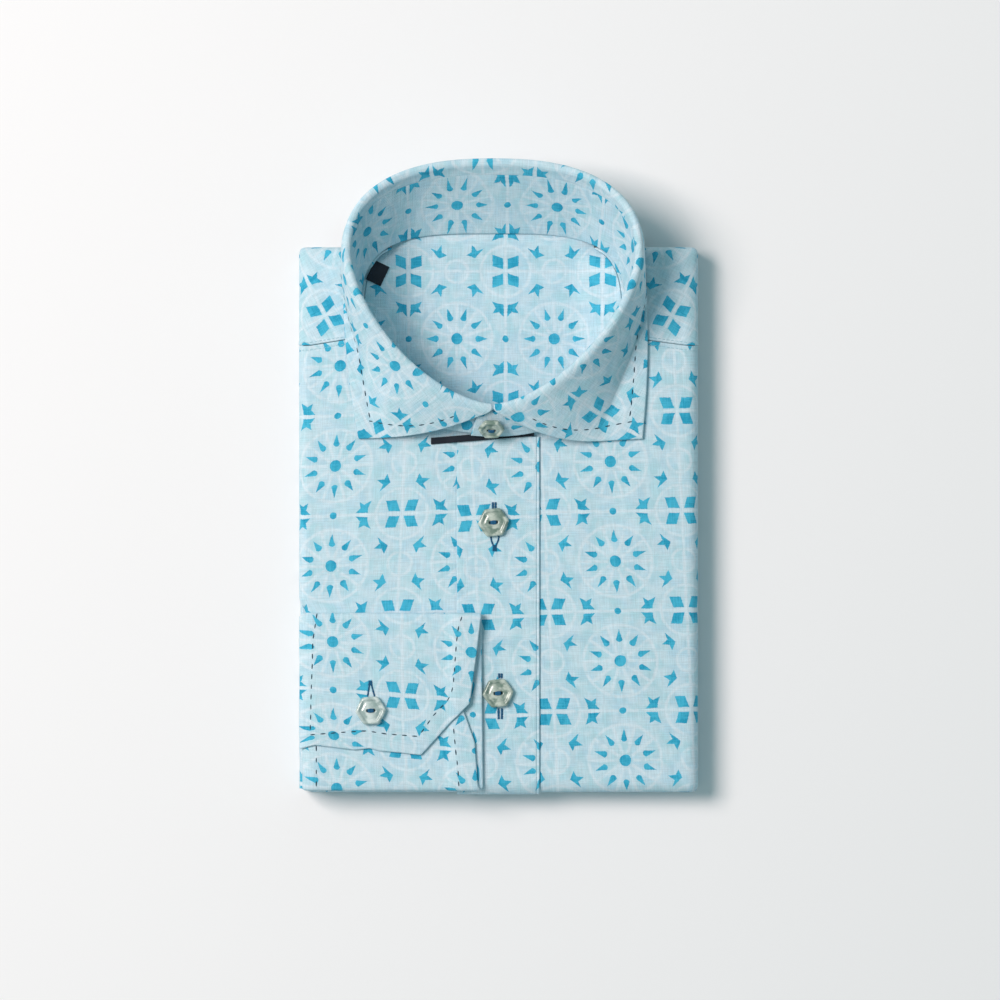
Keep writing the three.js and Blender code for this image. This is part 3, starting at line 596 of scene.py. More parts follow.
def print_fields(u, v):
    """How far a point is inside a turquoise motif, and inside a pale strap between the ground's patches."""
    x = u.folded(REPEAT_ACROSS)
    y = v.folded(REPEAT_DOWN)
    from_x = -x + REPEAT_ACROSS / 2
    from_y = -y + REPEAT_DOWN / 2
    radius = distance_to(x, y, (0, 0))
    motif = -radius + ROSETTE_DISC
    petal_turn = x.math("ARCTAN2", y).math("WRAP", PETAL_STEP / 2, -PETAL_STEP / 2)
    petal_x = abs(radius * petal_turn.math("SINE"))
    petal_y = radius * petal_turn.math("COSINE")
    flank = beside_line(petal_x, petal_y, PETAL_SHOULDER, (0, PETAL_TIP))
    below = (petal_y - PETAL_ROUND_AT).least(0.0)
    petal_end = -distance_to(petal_x, below, (0, 0)) + PETAL_ROUND
    motif = motif.most(flank.least(petal_end))
    motif = motif.most(-distance_to(x, from_y, (0, 0)) + SMALL_DOT)
    rhomb_y = -abs(from_y - RHOMB_AWAY) + RHOMB_HALF
    leaning = from_x - (from_y - RHOMB_SLANT_FROM) * RHOMB_SLANT - RHOMB_SIDE
    rhomb_x = (-abs(leaning) + RHOMB_HALF) * (1 / math.hypot(1, RHOMB_SLANT))
    motif = motif.most(rhomb_y.least(rhomb_x))
    for corners in STAR_LOW:
        motif = motif.most(inside_polygon(x, y, corners))
    for corners in STAR_SIDE:
        motif = motif.most(inside_polygon(from_x, y, corners))
    ring = abs(radius - RING)
    round_diamond = abs(distance_to(from_x, from_y, (0, 0)) - DIAMOND_RING)
    ray = radius * (-abs(petal_turn) + PETAL_STEP / 2).math("SINE")
    spoke = ray.most(radius - RING).most(-radius + SPOKE_START)
    strap = ring.least(round_diamond).least(spoke).least(from_x.least(from_y))
    star_ring = abs(distance_to(from_x, y, (0, 0)) - STAR_RING)
    return motif, strap.least(star_ring)


def srgb(red, green, blue, alpha=1.0):
    """A scene colour from a screen colour given in 0 to 255."""
    share = [value / 255 for value in (red, green, blue)]
    return (*[s / 12.92 if s <= 0.04045 else ((s + 0.055) / 1.055) ** 2.4 for s in share], alpha)


def new_material(name, roughness, sheen=0.0):
    material = bpy.data.materials.new(name)
    material.use_nodes = True
    shader = material.node_tree.nodes["Principled BSDF"]
    shader.inputs["Roughness"].default_value = roughness
    if sheen:
        shader.inputs["Sheen Weight"].default_value = sheen
        shader.inputs["Sheen Roughness"].default_value = 0.5
    return material, material.node_tree, shader


def noise_field(tree, x, y, scale_x, scale_y, detail=2.0, z=0.0):
    """Smooth noise from 0 to 1, stretched by a scale each way."""
    place = tree.nodes.new("ShaderNodeCombineXYZ")
    tree.links.new((x * scale_x).socket, place.inputs[0])
    tree.links.new((y * scale_y).socket, place.inputs[1])
    place.inputs[2].default_value = z
    noise = tree.nodes.new("ShaderNodeTexNoise")
    noise.inputs["Scale"].default_value = 1.0
    noise.inputs["Detail"].default_value = detail
    tree.links.new(place.outputs[0], noise.inputs["Vector"])
    return Field(tree, noise.outputs["Fac"])


def blend_colour(tree, share, low, high):
    node = tree.nodes.new("ShaderNodeMix")
    node.data_type = "RGBA"
    tree.links.new(share.socket, node.inputs[0])
    for colour, slot in ((low, node.inputs[6]), (high, node.inputs[7])):
        if isinstance(colour, bpy.types.NodeSocket):
            tree.links.new(colour, slot)
        else:
            slot.default_value = colour
    return node.outputs[2]


def scaled_colour(tree, colour, factor):
    """A colour, or a socket that gives one, made lighter or darker by a factor."""
    node = tree.nodes.new("ShaderNodeVectorMath")
    node.operation = "SCALE"
    if isinstance(colour, bpy.types.NodeSocket):
        tree.links.new(colour, node.inputs[0])
    else:
        node.inputs[0].default_value = colour[:3]
    tree.links.new(factor.socket, node.inputs["Scale"])
    return node.outputs[0]


def bump(tree, height, distance, strength=1.0):
    node = tree.nodes.new("ShaderNodeBump")
    node.inputs["Strength"].default_value = strength
    node.inputs["Distance"].default_value = distance
    tree.links.new(height.socket, node.inputs["Height"])
    return node.outputs["Normal"]


def linen_material():
    """Plain-woven linen, printed with turquoise motifs on a mottled pale ground."""
    material, tree, shader = new_material("Printed linen", 0.86, sheen=0.03)
    shader.inputs["Specular IOR Level"].default_value = 0.25
    uv = tree.nodes.new("ShaderNodeUVMap")
    uv.uv_map = "Print"
    parts = tree.nodes.new("ShaderNodeSeparateXYZ")
    tree.links.new(uv.outputs[0], parts.inputs[0])
    u = Field(tree, parts.outputs[0])
    v = Field(tree, parts.outputs[1])
    ragged = noise_field(tree, u, v, 1.7, 1.7, 2.0, 4.0) - 0.5
    shift_u = (noise_field(tree, u, v, 0.16, 0.16, 2.0, 9.0) - 0.5) * 1.1
    shift_v = (noise_field(tree, u, v, 0.16, 0.16, 2.0, 19.0) - 0.5) * 1.1
    motif, strap = print_fields(u + shift_u, v + shift_v)
    coverage = (motif + ragged * 0.6).ramp(-0.14, 0.18)
    worn = noise_field(tree, u, v, 0.3, 0.3, 2.0, 31.0).ramp(0.22, 0.54)
    line = (strap + ragged * 0.8).ramp(0.2, 1.2, 1.0, 0.0) * worn
    mottle = noise_field(tree, u, v, 0.17, 0.17, 3.0, 1.0).ramp(0.34, 0.66)
    cool = noise_field(tree, u, v, 0.09, 0.09, 2.0, 41.0).ramp(0.4, 0.62)
    tinted = (line * -0.85 + 1.0) * mottle.times_plus(0.58, 0.38)
    aqua = blend_colour(tree, tinted, dyed("strap"), dyed("patch"))
    lilac = blend_colour(tree, tinted, dyed("strap"), dyed("cool_patch"))
    ground = blend_colour(tree, cool, aqua, lilac)
    slub_across = noise_field(tree, u, v, 0.11, 1.9, 3.0, 2.0)
    slub_down = noise_field(tree, u, v, 1.9, 0.11, 3.0, 6.0)
    slub = slub_across + slub_down
    fine = noise_field(tree, u, v, 2.2, 2.2, 2.0, 12.0)
    ink = (mottle * 0.35 + slub * 0.5 + fine * 0.35).ramp(0.45, 1.1)
    motif_colour = blend_colour(tree, ink, dyed("motif_deep"), dyed("motif"))
    printed = blend_colour(tree, coverage, ground, motif_colour)
    shade = (slub * 0.5 + fine * 0.25).ramp(0.47, 0.78, 0.9, 1.07)
    tree.links.new(scaled_colour(tree, printed, shade), shader.inputs["Base Color"])
    thread_turn = math.pi / THREAD_PITCH
    weave = (u * thread_turn).math("SINE") * (v * thread_turn).math("SINE")
    height = slub * 0.6 + weave * 0.14 + fine * 0.3
    tree.links.new(bump(tree, height, 0.0004, 0.75), shader.inputs["Normal"])
    return material


def object_fields(tree):
    """Each point's x and y on its object, in millimetres."""
    place = tree.nodes.new("ShaderNodeTexCoord")
    parts = tree.nodes.new("ShaderNodeSeparateXYZ")
    tree.links.new(place.outputs["Object"], parts.inputs[0])
    return [Field(tree, parts.outputs[axis]) * (1 / MM) for axis in range(2)]


def tape_material():
    """Dark navy twill tape with a fine slanted rib."""
    material, tree, shader = new_material("Navy tape", 0.85, sheen=0.05)
    x, y = object_fields(tree)
    twill = ((x + y * 0.6) * (2 * math.pi / TWILL_PITCH)).math("SINE")
    grain = noise_field(tree, x, y, 3.0, 3.0, 2.0)
    shade = (twill * 0.25 + grain).ramp(0.1, 1.0, 0.75, 1.3)
    tree.links.new(scaled_colour(tree, dyed("tape"), shade), shader.inputs["Base Color"])
    tree.links.new(bump(tree, twill * 0.4 + grain * 0.4, 0.0002, 0.6), shader.inputs["Normal"])
    return material


def shell_material(name, pale, dark):
    """Polished mother-of-pearl: cloudy growth bands with a soft gloss."""
    material, tree, shader = new_material(name, 0.2)
    x, y = object_fields(tree)
    cloud = noise_field(tree, x, y, 0.22, 0.3, 4.0)
    bands = ((x * 0.8 + y * 0.35 + cloud * 9.0) * 1.1).math("SINE")
    fine = noise_field(tree, x, y, 0.9, 1.4, 3.0, 5.0)
    share = (cloud + bands * 0.14 + (fine - 0.5) * 0.35).ramp(0.25, 0.78)
    tree.links.new(blend_colour(tree, share, dark, pale), shader.inputs["Base Color"])
    tree.links.new(bump(tree, fine * 0.3 + cloud * 0.5, 0.0003, 0.5), shader.inputs["Normal"])
    shader.inputs["Coat Weight"].default_value = 0.6
    shader.inputs["Coat Roughness"].default_value = 0.08
    return material


def thread_material(name, colour):
    """Twisted sewing thread with a soft shine."""
    material, tree, shader = new_material(name, 0.55, sheen=0.04)
    x, y = object_fields(tree)
    grain = noise_field(tree, x, y, 2.5, 2.5, 2.0)
    shade = grain.ramp(0.2, 0.8, 0.75, 1.25)
    tree.links.new(scaled_colour(tree, colour, shade), shader.inputs["Base Color"])
    twist = ((x + y) * (2 * math.pi / TWIST_PITCH)).math("SINE")
    tree.links.new(bump(tree, twist, 0.0001, 0.5), shader.inputs["Normal"])
    return material


def material_named(name, make):
    return bpy.data.materials.get(name) or make()


def linen():
    return material_named("Printed linen", linen_material)


def tape():
    return material_named("Navy tape", tape_material)


THREADS = {"pick": "Pick stitch thread", "royal": "Royal blue thread", "pale": "Pale sewing thread"}


def thread(kind):
    return material_named(THREADS[kind], lambda: thread_material(THREADS[kind], dyed(kind + "_thread")))


def dye(name, description, *screen_colour):
    return FloatVectorProperty(name=name, description=description, subtype="COLOR", size=4, min=0, max=1,
                               default=srgb(*screen_colour))


class ShirtLooks(bpy.types.PropertyGroup):
    """Colours and stitch sizes of the shirt."""

    strap: dye("Ground", "Palest colour of the cloth", 211, 228, 236)
    patch: dye("Ground patches", "Tinted patches of the ground", 174, 214, 224)
    cool_patch: dye("Cool patches", "Bluer patches of the ground", 177, 213, 227)
    motif: dye("Motifs", "Turquoise of the printed motifs", 70, 182, 212)
    motif_deep: dye("Motifs, deep", "Turquoise where the ink is heavy", 24, 150, 186)
    tape: dye("Tape", "Navy of the neck tape and the label", 13, 24, 36)
    shell_pale: dye("Shell, pale", "Pale colour in the front buttons", 196, 206, 194)
    shell_dark: dye("Shell, dark", "Dark colour in the front buttons", 112, 134, 122)
    cuff_shell_pale: dye("Cuff shell, pale", "Pale colour in the cuff's button", 214, 226, 222)
    cuff_shell_dark: dye("Cuff shell, dark", "Dark colour in the cuff's button", 150, 172, 168)
    pick_thread: dye("Pick stitches", "Thread of the hand stitches", 20, 62, 82)
    royal_thread: dye("Buttonholes", "Thread of buttonholes and buttons", 0, 90, 132)
    pale_thread: dye("Seam thread", "Thread of the seams", 150, 196, 208)
    pick_length: FloatProperty(
        name="Pick stitch", description="Length of a hand stitch", default=2.7 * MM, min=0.0005, max=0.01,
        subtype="DISTANCE", unit="LENGTH")
    pick_pitch: FloatProperty(
        name="Pick pitch", description="From one hand stitch to the next", default=5.2 * MM,
        min=0.001, max=0.02, subtype="DISTANCE", unit="LENGTH")


def dyed(name):
    """A colour of the shirt's looks, as the user has set it."""
    return tuple(getattr(bpy.context.scene.shirt_looks, name))


# Stitches, laid along paths by Geometry Nodes.


def stitch_tree():
    """Stitches along a path, each turned to the path and to the cloth under it."""
    name = "Stitches along a path"
    if name in bpy.data.node_groups:
        return bpy.data.node_groups[name]
    tree = bpy.data.node_groups.new(name, "GeometryNodeTree")
    tree.is_modifier = True
    for socket, kind in (("Path", "Geometry"), ("Pitch", "Float"), ("Stitch size", "Vector"),
                         ("Wander", "Float"), ("Thread", "Material")):
        tree.interface.new_socket(socket, in_out="INPUT", socket_type="NodeSocket" + kind)
    tree.interface.new_socket("Stitches", in_out="OUTPUT", socket_type="NodeSocketGeometry")
    add = tree.nodes.new
    link = tree.links.new
    entry = add("NodeGroupInput")
    leave = add("NodeGroupOutput")
    curve = add("GeometryNodeMeshToCurve")
    spaced = add("GeometryNodeCurveToPoints")
    spaced.mode = "LENGTH"
    along = add("FunctionNodeAlignRotationToVector")
    along.axis = "X"
    upright = add("FunctionNodeAlignRotationToVector")
    upright.axis = "Z"
    upright.pivot_axis = "X"
    lift = add("GeometryNodeInputNamedAttribute")
    lift.data_type = "FLOAT_VECTOR"
    lift.inputs["Name"].default_value = "lift"
    bead = add("GeometryNodeMeshUVSphere")
    bead.inputs["Segments"].default_value = 8
    bead.inputs["Rings"].default_value = 6
    bead.inputs["Radius"].default_value = 0.5
    turn = add("FunctionNodeRandomValue")
    turn.data_type = "FLOAT"
    turn.inputs["Seed"].default_value = 7
    backwards = add("ShaderNodeMath")
    backwards.operation = "MULTIPLY"
    backwards.inputs[1].default_value = -1.0
    spin = add("ShaderNodeCombineXYZ")
    rotated = add("FunctionNodeRotateRotation")
    rotated.rotation_space = "LOCAL"
    to_rotation = add("FunctionNodeEulerToRotation")
    size_share = add("FunctionNodeRandomValue")
    size_share.data_type = "FLOAT"
    size_share.inputs[2].default_value = 0.9
    size_share.inputs[3].default_value = 1.1
    size_share.inputs["Seed"].default_value = 11
    sized = add("ShaderNodeVectorMath")
    sized.operation = "SCALE"
    placed = add("GeometryNodeInstanceOnPoints")
    shaded = add("GeometryNodeSetShadeSmooth")
    real = add("GeometryNodeRealizeInstances")
    threaded = add("GeometryNodeSetMaterial")
    link(entry.outputs["Path"], curve.inputs[0])
    link(curve.outputs[0], spaced.inputs["Curve"])
    link(entry.outputs["Pitch"], spaced.inputs["Length"])
    link(spaced.outputs["Tangent"], along.inputs["Vector"])
    link(along.outputs[0], upright.inputs["Rotation"])
    link(lift.outputs["Attribute"], upright.inputs["Vector"])
    link(entry.outputs["Wander"], backwards.inputs[0])
    link(backwards.outputs[0], turn.inputs[2])
    link(entry.outputs["Wander"], turn.inputs[3])
    link(turn.outputs[1], spin.inputs[2])
    link(spin.outputs[0], to_rotation.inputs[0])
    link(upright.outputs[0], rotated.inputs["Rotation"])
    link(to_rotation.outputs[0], rotated.inputs["Rotate By"])
    link(entry.outputs["Stitch size"], sized.inputs[0])
    link(size_share.outputs[1], sized.inputs["Scale"])
    link(spaced.outputs["Points"], placed.inputs["Points"])
    link(bead.outputs["Mesh"], placed.inputs["Instance"])
    link(rotated.outputs[0], placed.inputs["Rotation"])
    link(sized.outputs[0], placed.inputs["Scale"])
    link(placed.outputs[0], shaded.inputs[0])
    link(shaded.outputs[0], real.inputs[0])
    link(real.outputs[0], threaded.inputs["Geometry"])
    link(entry.outputs["Thread"], threaded.inputs["Material"])
    link(threaded.outputs[0], leave.inputs[0])
    return tree


def stitches(name, lines, pitch, size, kind, wander=0.04):
    """One mesh of stitches along lines of (point, normal) pairs. A size is along, across and high."""
    points = [point for line in lines for point, _ in line]
    edges = []
    first = 0
    for line in lines:
        edges += [(first + k, first + k + 1) for k in range(len(line) - 1)]
        first += len(line)
    mesh = bpy.data.meshes.new(name)
    moved = (np.array(points) + (0, SHOULDER, 0)) * MM
    mesh.from_pydata(moved.tolist(), edges, [])
    lift = mesh.attributes.new("lift", "FLOAT_VECTOR", "POINT")
    lift.data.foreach_set("vector", np.array([normal for line in lines for _, normal in line]).ravel())
    piece = bpy.data.objects.new(name, mesh)
    bpy.context.scene.collection.objects.link(piece)
    tree = stitch_tree()
    sockets = {item.name: item.identifier for item in tree.interface.items_tree}
    modifier = piece.modifiers.new("Stitches", "NODES")
    modifier.node_group = tree
    modifier[sockets["Pitch"]] = pitch * MM
    modifier[sockets["Stitch size"]] = [value * MM for value in size]
    modifier[sockets["Wander"]] = wander
    modifier[sockets["Thread"]] = thread(kind)
    made = evaluated_mesh(piece)
    piece.modifiers.clear()
    piece.data = made
    made.name = name
    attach(piece, "root")
    return piece


# Rays that look for the cloth start this high over the floor, in metres.
RAY_START = 0.2


class Underlay:
    """The cloth seen from above, to lay stitches and buttons on."""

    def __init__(self, *pieces):
        self.trees = []
        for piece in pieces:
            corners = [vertex.co for vertex in piece.data.vertices]
            faces = [tuple(polygon.vertices) for polygon in piece.data.polygons]
            self.trees.append(BVHTree.FromPolygons(corners, faces))

    def drop(self, x, y, lift=0.0):
        start = Vector((x * MM, (y + SHOULDER) * MM, RAY_START))
        best = None
        for tree in self.trees:
            place, normal, _, _ = tree.ray_cast(start, Vector((0, 0, -1)))
            if place is not None and (best is None or place.z > best[0].z):
                best = (place, normal)
        if best is None:
            raise RuntimeError(f"no cloth under ({x:.1f}, {y:.1f})")
        place, normal = best
        point = np.array(place) / MM - (0, SHOULDER, 0)
        return point + np.array(normal) * lift, np.array(normal)

    def line(self, path, lift=0.0, step=1.0):
        """A path of (x, y) points, laid on the cloth with a point every step."""
        path = np.array(path, float)
        reach = run_along(path)
        places = np.linspace(0, reach[-1], max(2, int(reach[-1] / step) + 1))
        xs = np.interp(places, reach, path[:, 0])
        ys = np.interp(places, reach, path[:, 1])
        return [self.drop(x, y, lift) for x, y in zip(xs, ys)]


# The body of the shirt.


# The hidden layers' edge: each folded layer's heights, and how high and how far in the levels over them lie.
FOLDED_LAYERS = ((0.0, 3.6), (3.6, 7.3))
LAYER_PITCH = 3.65
LAYER_INSET, LAYER_ROUND = 0.4, 2.5
LAYER_BASE = (0.0, 2.8)
UPPER_LEVELS = ((7.45, 4.4), (8.6, 4.6), (9.8, 4.4), (10.1, 2.4), (10.5, 1.9), (14.0, 1.9))
UNDER_PANELS = WALL + GAP + 0.2
TOP_INSETS = (10, 20, 34, 50, 66, 80, 90)
EDGE_WANDER = 0.35
LAYER_PRINT_SHIFT = 20

# What the neck leaves open in the hidden layers: its floor, roof and back, and the places of its outline.
WELL_FLOOR, WELL_ROOF, WELL_BACK = 8.1, 40.0, 20.0
WELL_PLACES = (WELL_BACK, 0, -2, -4, -7, -11, -17, -25, -38, -50, -60, -68, -75, -81, -85)


def folded_layers():
    """The hidden back, tail and sleeves: one solid with a rounded edge for each folded layer."""
    rings = [LAYER_BASE]
    for low, high in FOLDED_LAYERS:
        for turn in np.radians(np.linspace(-80, 80, 13)):
            inset = LAYER_INSET + LAYER_ROUND * (1 - math.cos(turn) ** 0.5)
            rings.append((mix(low, high, (math.sin(turn) + 1) / 2), inset))
    rings += UPPER_LEVELS
    radius = EDGE_RADIUS - UNDER_PANELS
    for turn in np.radians((20, 40, 60, 80, 90)):
        z = THICKNESS - EDGE_RADIUS + radius * math.sin(turn)
        rings.append((z, UNDER_PANELS + radius * (1 - math.cos(turn))))
    rings += [(THICKNESS - UNDER_PANELS, inset) for inset in TOP_INSETS]
    loops = [packet_ring(z, inset) for z, inset in rings]
    piece = mesh_object("folded_back_and_sleeves", np.vstack(loops), ring_faces(len(loops), len(loops[0])))
    half = oval_half_width(NECK_CUT, np.minimum(WELL_PLACES, 0))
    sides = [[(COLLAR_X + side * w, y) for w, y in zip(half, WELL_PLACES)] for side in (-1, 1)]
    well = prism(sides[0] + sides[1][::-1], WELL_FLOOR, WELL_ROOF)
    cut_out(piece, mesh_object("neck_well", *well, smooth_faces=False))
    layer_uv(piece)
    finish(piece, linen(), node="folded_layers")


def packet_ring(z, inset):
    """One level of the packet: a rectangle with rounded corners, and edges that wander a little."""
    x = HALF_WIDTH - inset
    top = -inset
    foot = inset - PACKET_LENGTH
    r = max(0.4, EDGE_RADIUS - inset)
    across = np.linspace(x - r, r - x, 60)[1:-1]
    down = np.linspace(top - r, foot + r, 90)[1:-1]
    outline = []
    for cx, cy, start, runs in (
        (x - r, top - r, 0, [(run, top) for run in across]),
        (r - x, top - r, 90, [(-x, run) for run in down]),
        (r - x, foot + r, 180, [(run, foot) for run in across[::-1]]),
        (x - r, foot + r, 270, [(x, run) for run in down[::-1]]),
    ):
        for turn in np.radians(np.linspace(start, start + 90, 9)):
            c, s = math.cos(turn), math.sin(turn)
            bend = r / (abs(c) ** CORNER_POWER + abs(s) ** CORNER_POWER) ** (1 / CORNER_POWER)
            outline.append((cx + c * bend, cy + s * bend))
        outline += runs
    outline = np.array(outline)
    seed = 20 + int(z / LAYER_PITCH)
    wander = EDGE_WANDER * rumple(outline[:, 0], outline[:, 1], seed, 60, 16, 8)
    wander = np.where((z > 0.2) & (z < 7.2), np.clip(wander, -0.3, 1.0), 0.0)
    inward = unit(np.array([0.0, -PACKET_LENGTH / 2]) - outline)
    outline = outline + inward * wander[:, None]
    return settle(outline[:, 0], outline[:, 1], np.full(len(outline), z))


def layer_uv(piece):
    """Print coordinates on the hidden layers: the print seen from the side on their edges."""
    mesh = piece.data
    while mesh.uv_layers:
        mesh.uv_layers.remove(mesh.uv_layers[0])
    layer = mesh.uv_layers.new(name="Print")
    for polygon in mesh.polygons:
        nx, ny, nz = (abs(value) for value in polygon.normal)
        for loop in polygon.loop_indices:
            x, y, z = (value / MM for value in mesh.vertices[mesh.loops[loop].vertex_index].co)
            shifted = z + LAYER_PRINT_SHIFT * int(z / LAYER_PITCH)
            if nz > max(nx, ny):
                layer.data[loop].uv = (x, y)
            elif nx > ny:
                layer.data[loop].uv = (shifted, y)
            else:
                layer.data[loop].uv = (x, shifted)


PANEL_FOOT = FLAT_FOOT - SKIRT_LENGTH
RIM_POINTS = 4

# Pressed and sewn lines: how far from a seam or an edge, how wide, and how high or deep.
WELT = (0.8, 0.9, 0.22)
SEAM_GROOVE = (2.0, 0.5, 0.2)
PRESSED_LINE = (0.25, 0.35, 0.12)
YOKE_WELT = (1.0, 1.1, 0.3)
PLACKET_GROOVE = (1.3, 0.25, 0.3)
PLACKET_STITCH_X = PLACKET_RIGHT - PLACKET_GROOVE[0]
PLACKET_WALL = 0.8


def panel(name, columns, top_of, lay, wall, lift, height=0.0):
    """A panel on the packet's top: columns are places across it, and top_of gives its top end in each."""
    rows = [stations(top_of(a), PANEL_FOOT, FINE_STEP, wall / 2) for a in columns]
    count = min(len(row) for row in rows)
    shares = np.linspace(0, 1, count)
    b = np.array([np.interp(shares, np.linspace(0, 1, len(row)), row) for row in rows])
    for k, row in enumerate(rows):
        b[k, :RIM_POINTS] = row[:RIM_POINTS]
        b[k, -RIM_POINTS:] = row[-RIM_POINTS:]
    a = np.repeat(np.array(columns)[:, None], count, axis=1)
    middle = on_packet(a, b, height - wall / 2 + lift(a, b))
    return Cloth(name, middle, lay.coordinates(np.stack([a, b], axis=-1)), wall)


def front(name, side, centre_edge, lay):
    away, width, depth = PRESSED_LINE
    pressed_x = PLACKET_LEFT - away if side < 0 else PLACKET_RIGHT + away
    columns = stations(side * (FLAT_X + SKIRT_LENGTH), centre_edge, FINE_STEP, WALL / 2, lines=[pressed_x])

    def lift(a, b):
        from_seam = b - front_top_y(a)
        welt = WELT[2] * ridge(from_seam + WELT[0], WELT[1])
        groove = SEAM_GROOVE[2] * ridge(from_seam + SEAM_GROOVE[0], SEAM_GROOVE[1])
        return welt - groove - depth * ridge(a - pressed_x, width)

    if side > 0:
        columns = columns[::-1]
    return panel(name, columns, lambda a: float(front_top_y(a)), lay, WALL, lift)


def yoke_shoulder(name, side, lay):
    """The yoke beside the neck: from the front seam over the shoulder fold, and down the packet's side."""
    us = stations(0, 1, 0.035, 0.012)
    neck_rows = stations(SEAM_AT_NECK + 0.3, FLAT_TOP + SKIRT_LENGTH, FINE_STEP, WALL / 2)
    down_side = stations(0, SKIRT_LENGTH, FINE_STEP, WALL / 2)[RIM_POINTS + 2:]
    grid_a = []
    grid_b = []
    for u, more in [(u, 0.0) for u in us[:-RIM_POINTS]] + [(1.0, step) for step in down_side]:
        low_shift = mix(0, SEAM_AT_SIDE - SEAM_AT_NECK, u)
        share = (neck_rows - neck_rows[0]) / (FLAT_TOP - neck_rows[0])
        b = np.where(neck_rows < FLAT_TOP, neck_rows + low_shift * np.clip(1 - share, 0, 1), neck_rows)
        turn = np.clip(b - FLAT_TOP, 0, QUARTER_TURN) / EDGE_RADIUS
        skin = np.minimum(b, FLAT_TOP) + EDGE_RADIUS * np.sin(turn)
        neck_x = COLLAR_X + side * oval_half_width(NECK_CUT, skin)
        grid_a.append(mix(neck_x, side * FLAT_X, u) + side * more)
        grid_b.append(b)
    a = np.array(grid_a)
    b = np.array(grid_b)
    welt = YOKE_WELT[2] * ridge(b - yoke_seam_y(a) - YOKE_WELT[0], YOKE_WELT[1])
    middle = on_packet(a, b, welt - WALL / 2)
    if side > 0:
        middle = middle[:, ::-1]
        a, b = a[:, ::-1], b[:, ::-1]
    return Cloth(name, middle, lay.coordinates(np.stack([a, b], axis=-1)), WALL)


def placket():
    columns = stations(PLACKET_LEFT, PLACKET_RIGHT, 1.3, PLACKET_WALL / 2, lines=[PLACKET_STITCH_X])

    def lift(a, b):
        pucker = 0.09 * np.sin(b * 1.15 + 2 * np.sin(b * 0.21)) * ridge(a - PLACKET_RIGHT + 2.5, 3.2)
        return pucker - PLACKET_GROOVE[2] * ridge(a - PLACKET_STITCH_X, PLACKET_GROOVE[1])

    return panel("front_placket", columns[::-1], lambda a: PLACKET_TOP, PLACKET_LAY, PLACKET_WALL, lift,
                 height=PLACKET_RISE + PLACKET_WALL)


def over_placket(x):
    rise = PLACKET_RISE + INTERLINED
    return rise * smooth((x - PLACKET_LEFT + 6) / 6) * smooth((PLACKET_RIGHT + 6 - x) / 6)


# The yoke's inside, seen through the neck.
INNER_FLOOR, INNER_BACK, INNER_FRONT, INNER_RISE, INNER_CLEAR = 8.4, 8.0, -84.0, 2.0, 0.1


def inner_yoke_height(x, y):
    back = y > NECK_CUT.middle
    share = np.abs(y - NECK_CUT.middle) / np.where(back, NECK_CUT.back + 22, NECK_CUT.front + 40)
    round_share = np.hypot((x - COLLAR_X) / (NECK_CUT.half_width - INNER_CLEAR), share * 0.4)
    side_rise = (THICKNESS - INNER_FLOOR - 0.5) * smooth((round_share - 0.62) / 0.38)
    shoulder_share = smooth((-1 - y) / 12)
    back_lift = INNER_RISE * smooth((y + 14) / 18)
    return INNER_FLOOR + side_rise * mix(0.06, 1, shoulder_share) + back_lift


def inner_yoke():
    ys = stations(INNER_BACK, INNER_FRONT, 1.8, WALL / 2)
    half = oval_half_width(NECK_CUT, np.minimum(ys, 0)) - INNER_CLEAR
    us = stations(-1, 1, 0.032, 0.01)
    x = COLLAR_X + us[:, None] * half[None, :]
    y = np.repeat(ys[None, :], len(us), axis=0)
    waves = 0.2 * rumple(x, y, 5, 46, 14) * smooth((1 - np.abs(us[:, None])) * 6)
    z = inner_yoke_height(x, y) + WALL / 2 + 0.25 + waves
    middle = points_of(x, y, z)[:, ::-1]
    uv = INNER_LAY.coordinates(middle[..., :2])
    return Cloth("yoke_inside", middle, uv, WALL)


# The collar.


def neck_seam(degrees):
    x, y = oval_point(NECK_OVAL, degrees)
    s = np.sin(np.radians(degrees))
    rise = mix(0.9, 4.4, smooth((-s - 0.75) / 0.2))
    over_fold = np.clip(y - 1.1 - FLAT_TOP, 0, EDGE_RADIUS)
    round_drop = EDGE_RADIUS - np.sqrt(EDGE_RADIUS**2 - over_fold**2)
    on_shoulder = top_height(x, y) + rise - round_drop
    return points_of(x, y, mix(on_shoulder, 12.6, smooth((y - 1.1) / 3.5)))


def fold_place(degrees):
    """The middle of the roll, where the collar folds over: lowest at the back and the front."""
    x, y = oval_point(FOLD_OVAL, degrees)
    end = np.where(np.sin(np.radians(degrees)) > 0, FOLD_BACK_HEIGHT, FOLD_FRONT_HEIGHT)
    return points_of(x, y, mix(end, FOLD_SIDE_HEIGHT, np.cos(np.radians(degrees)) ** 2))


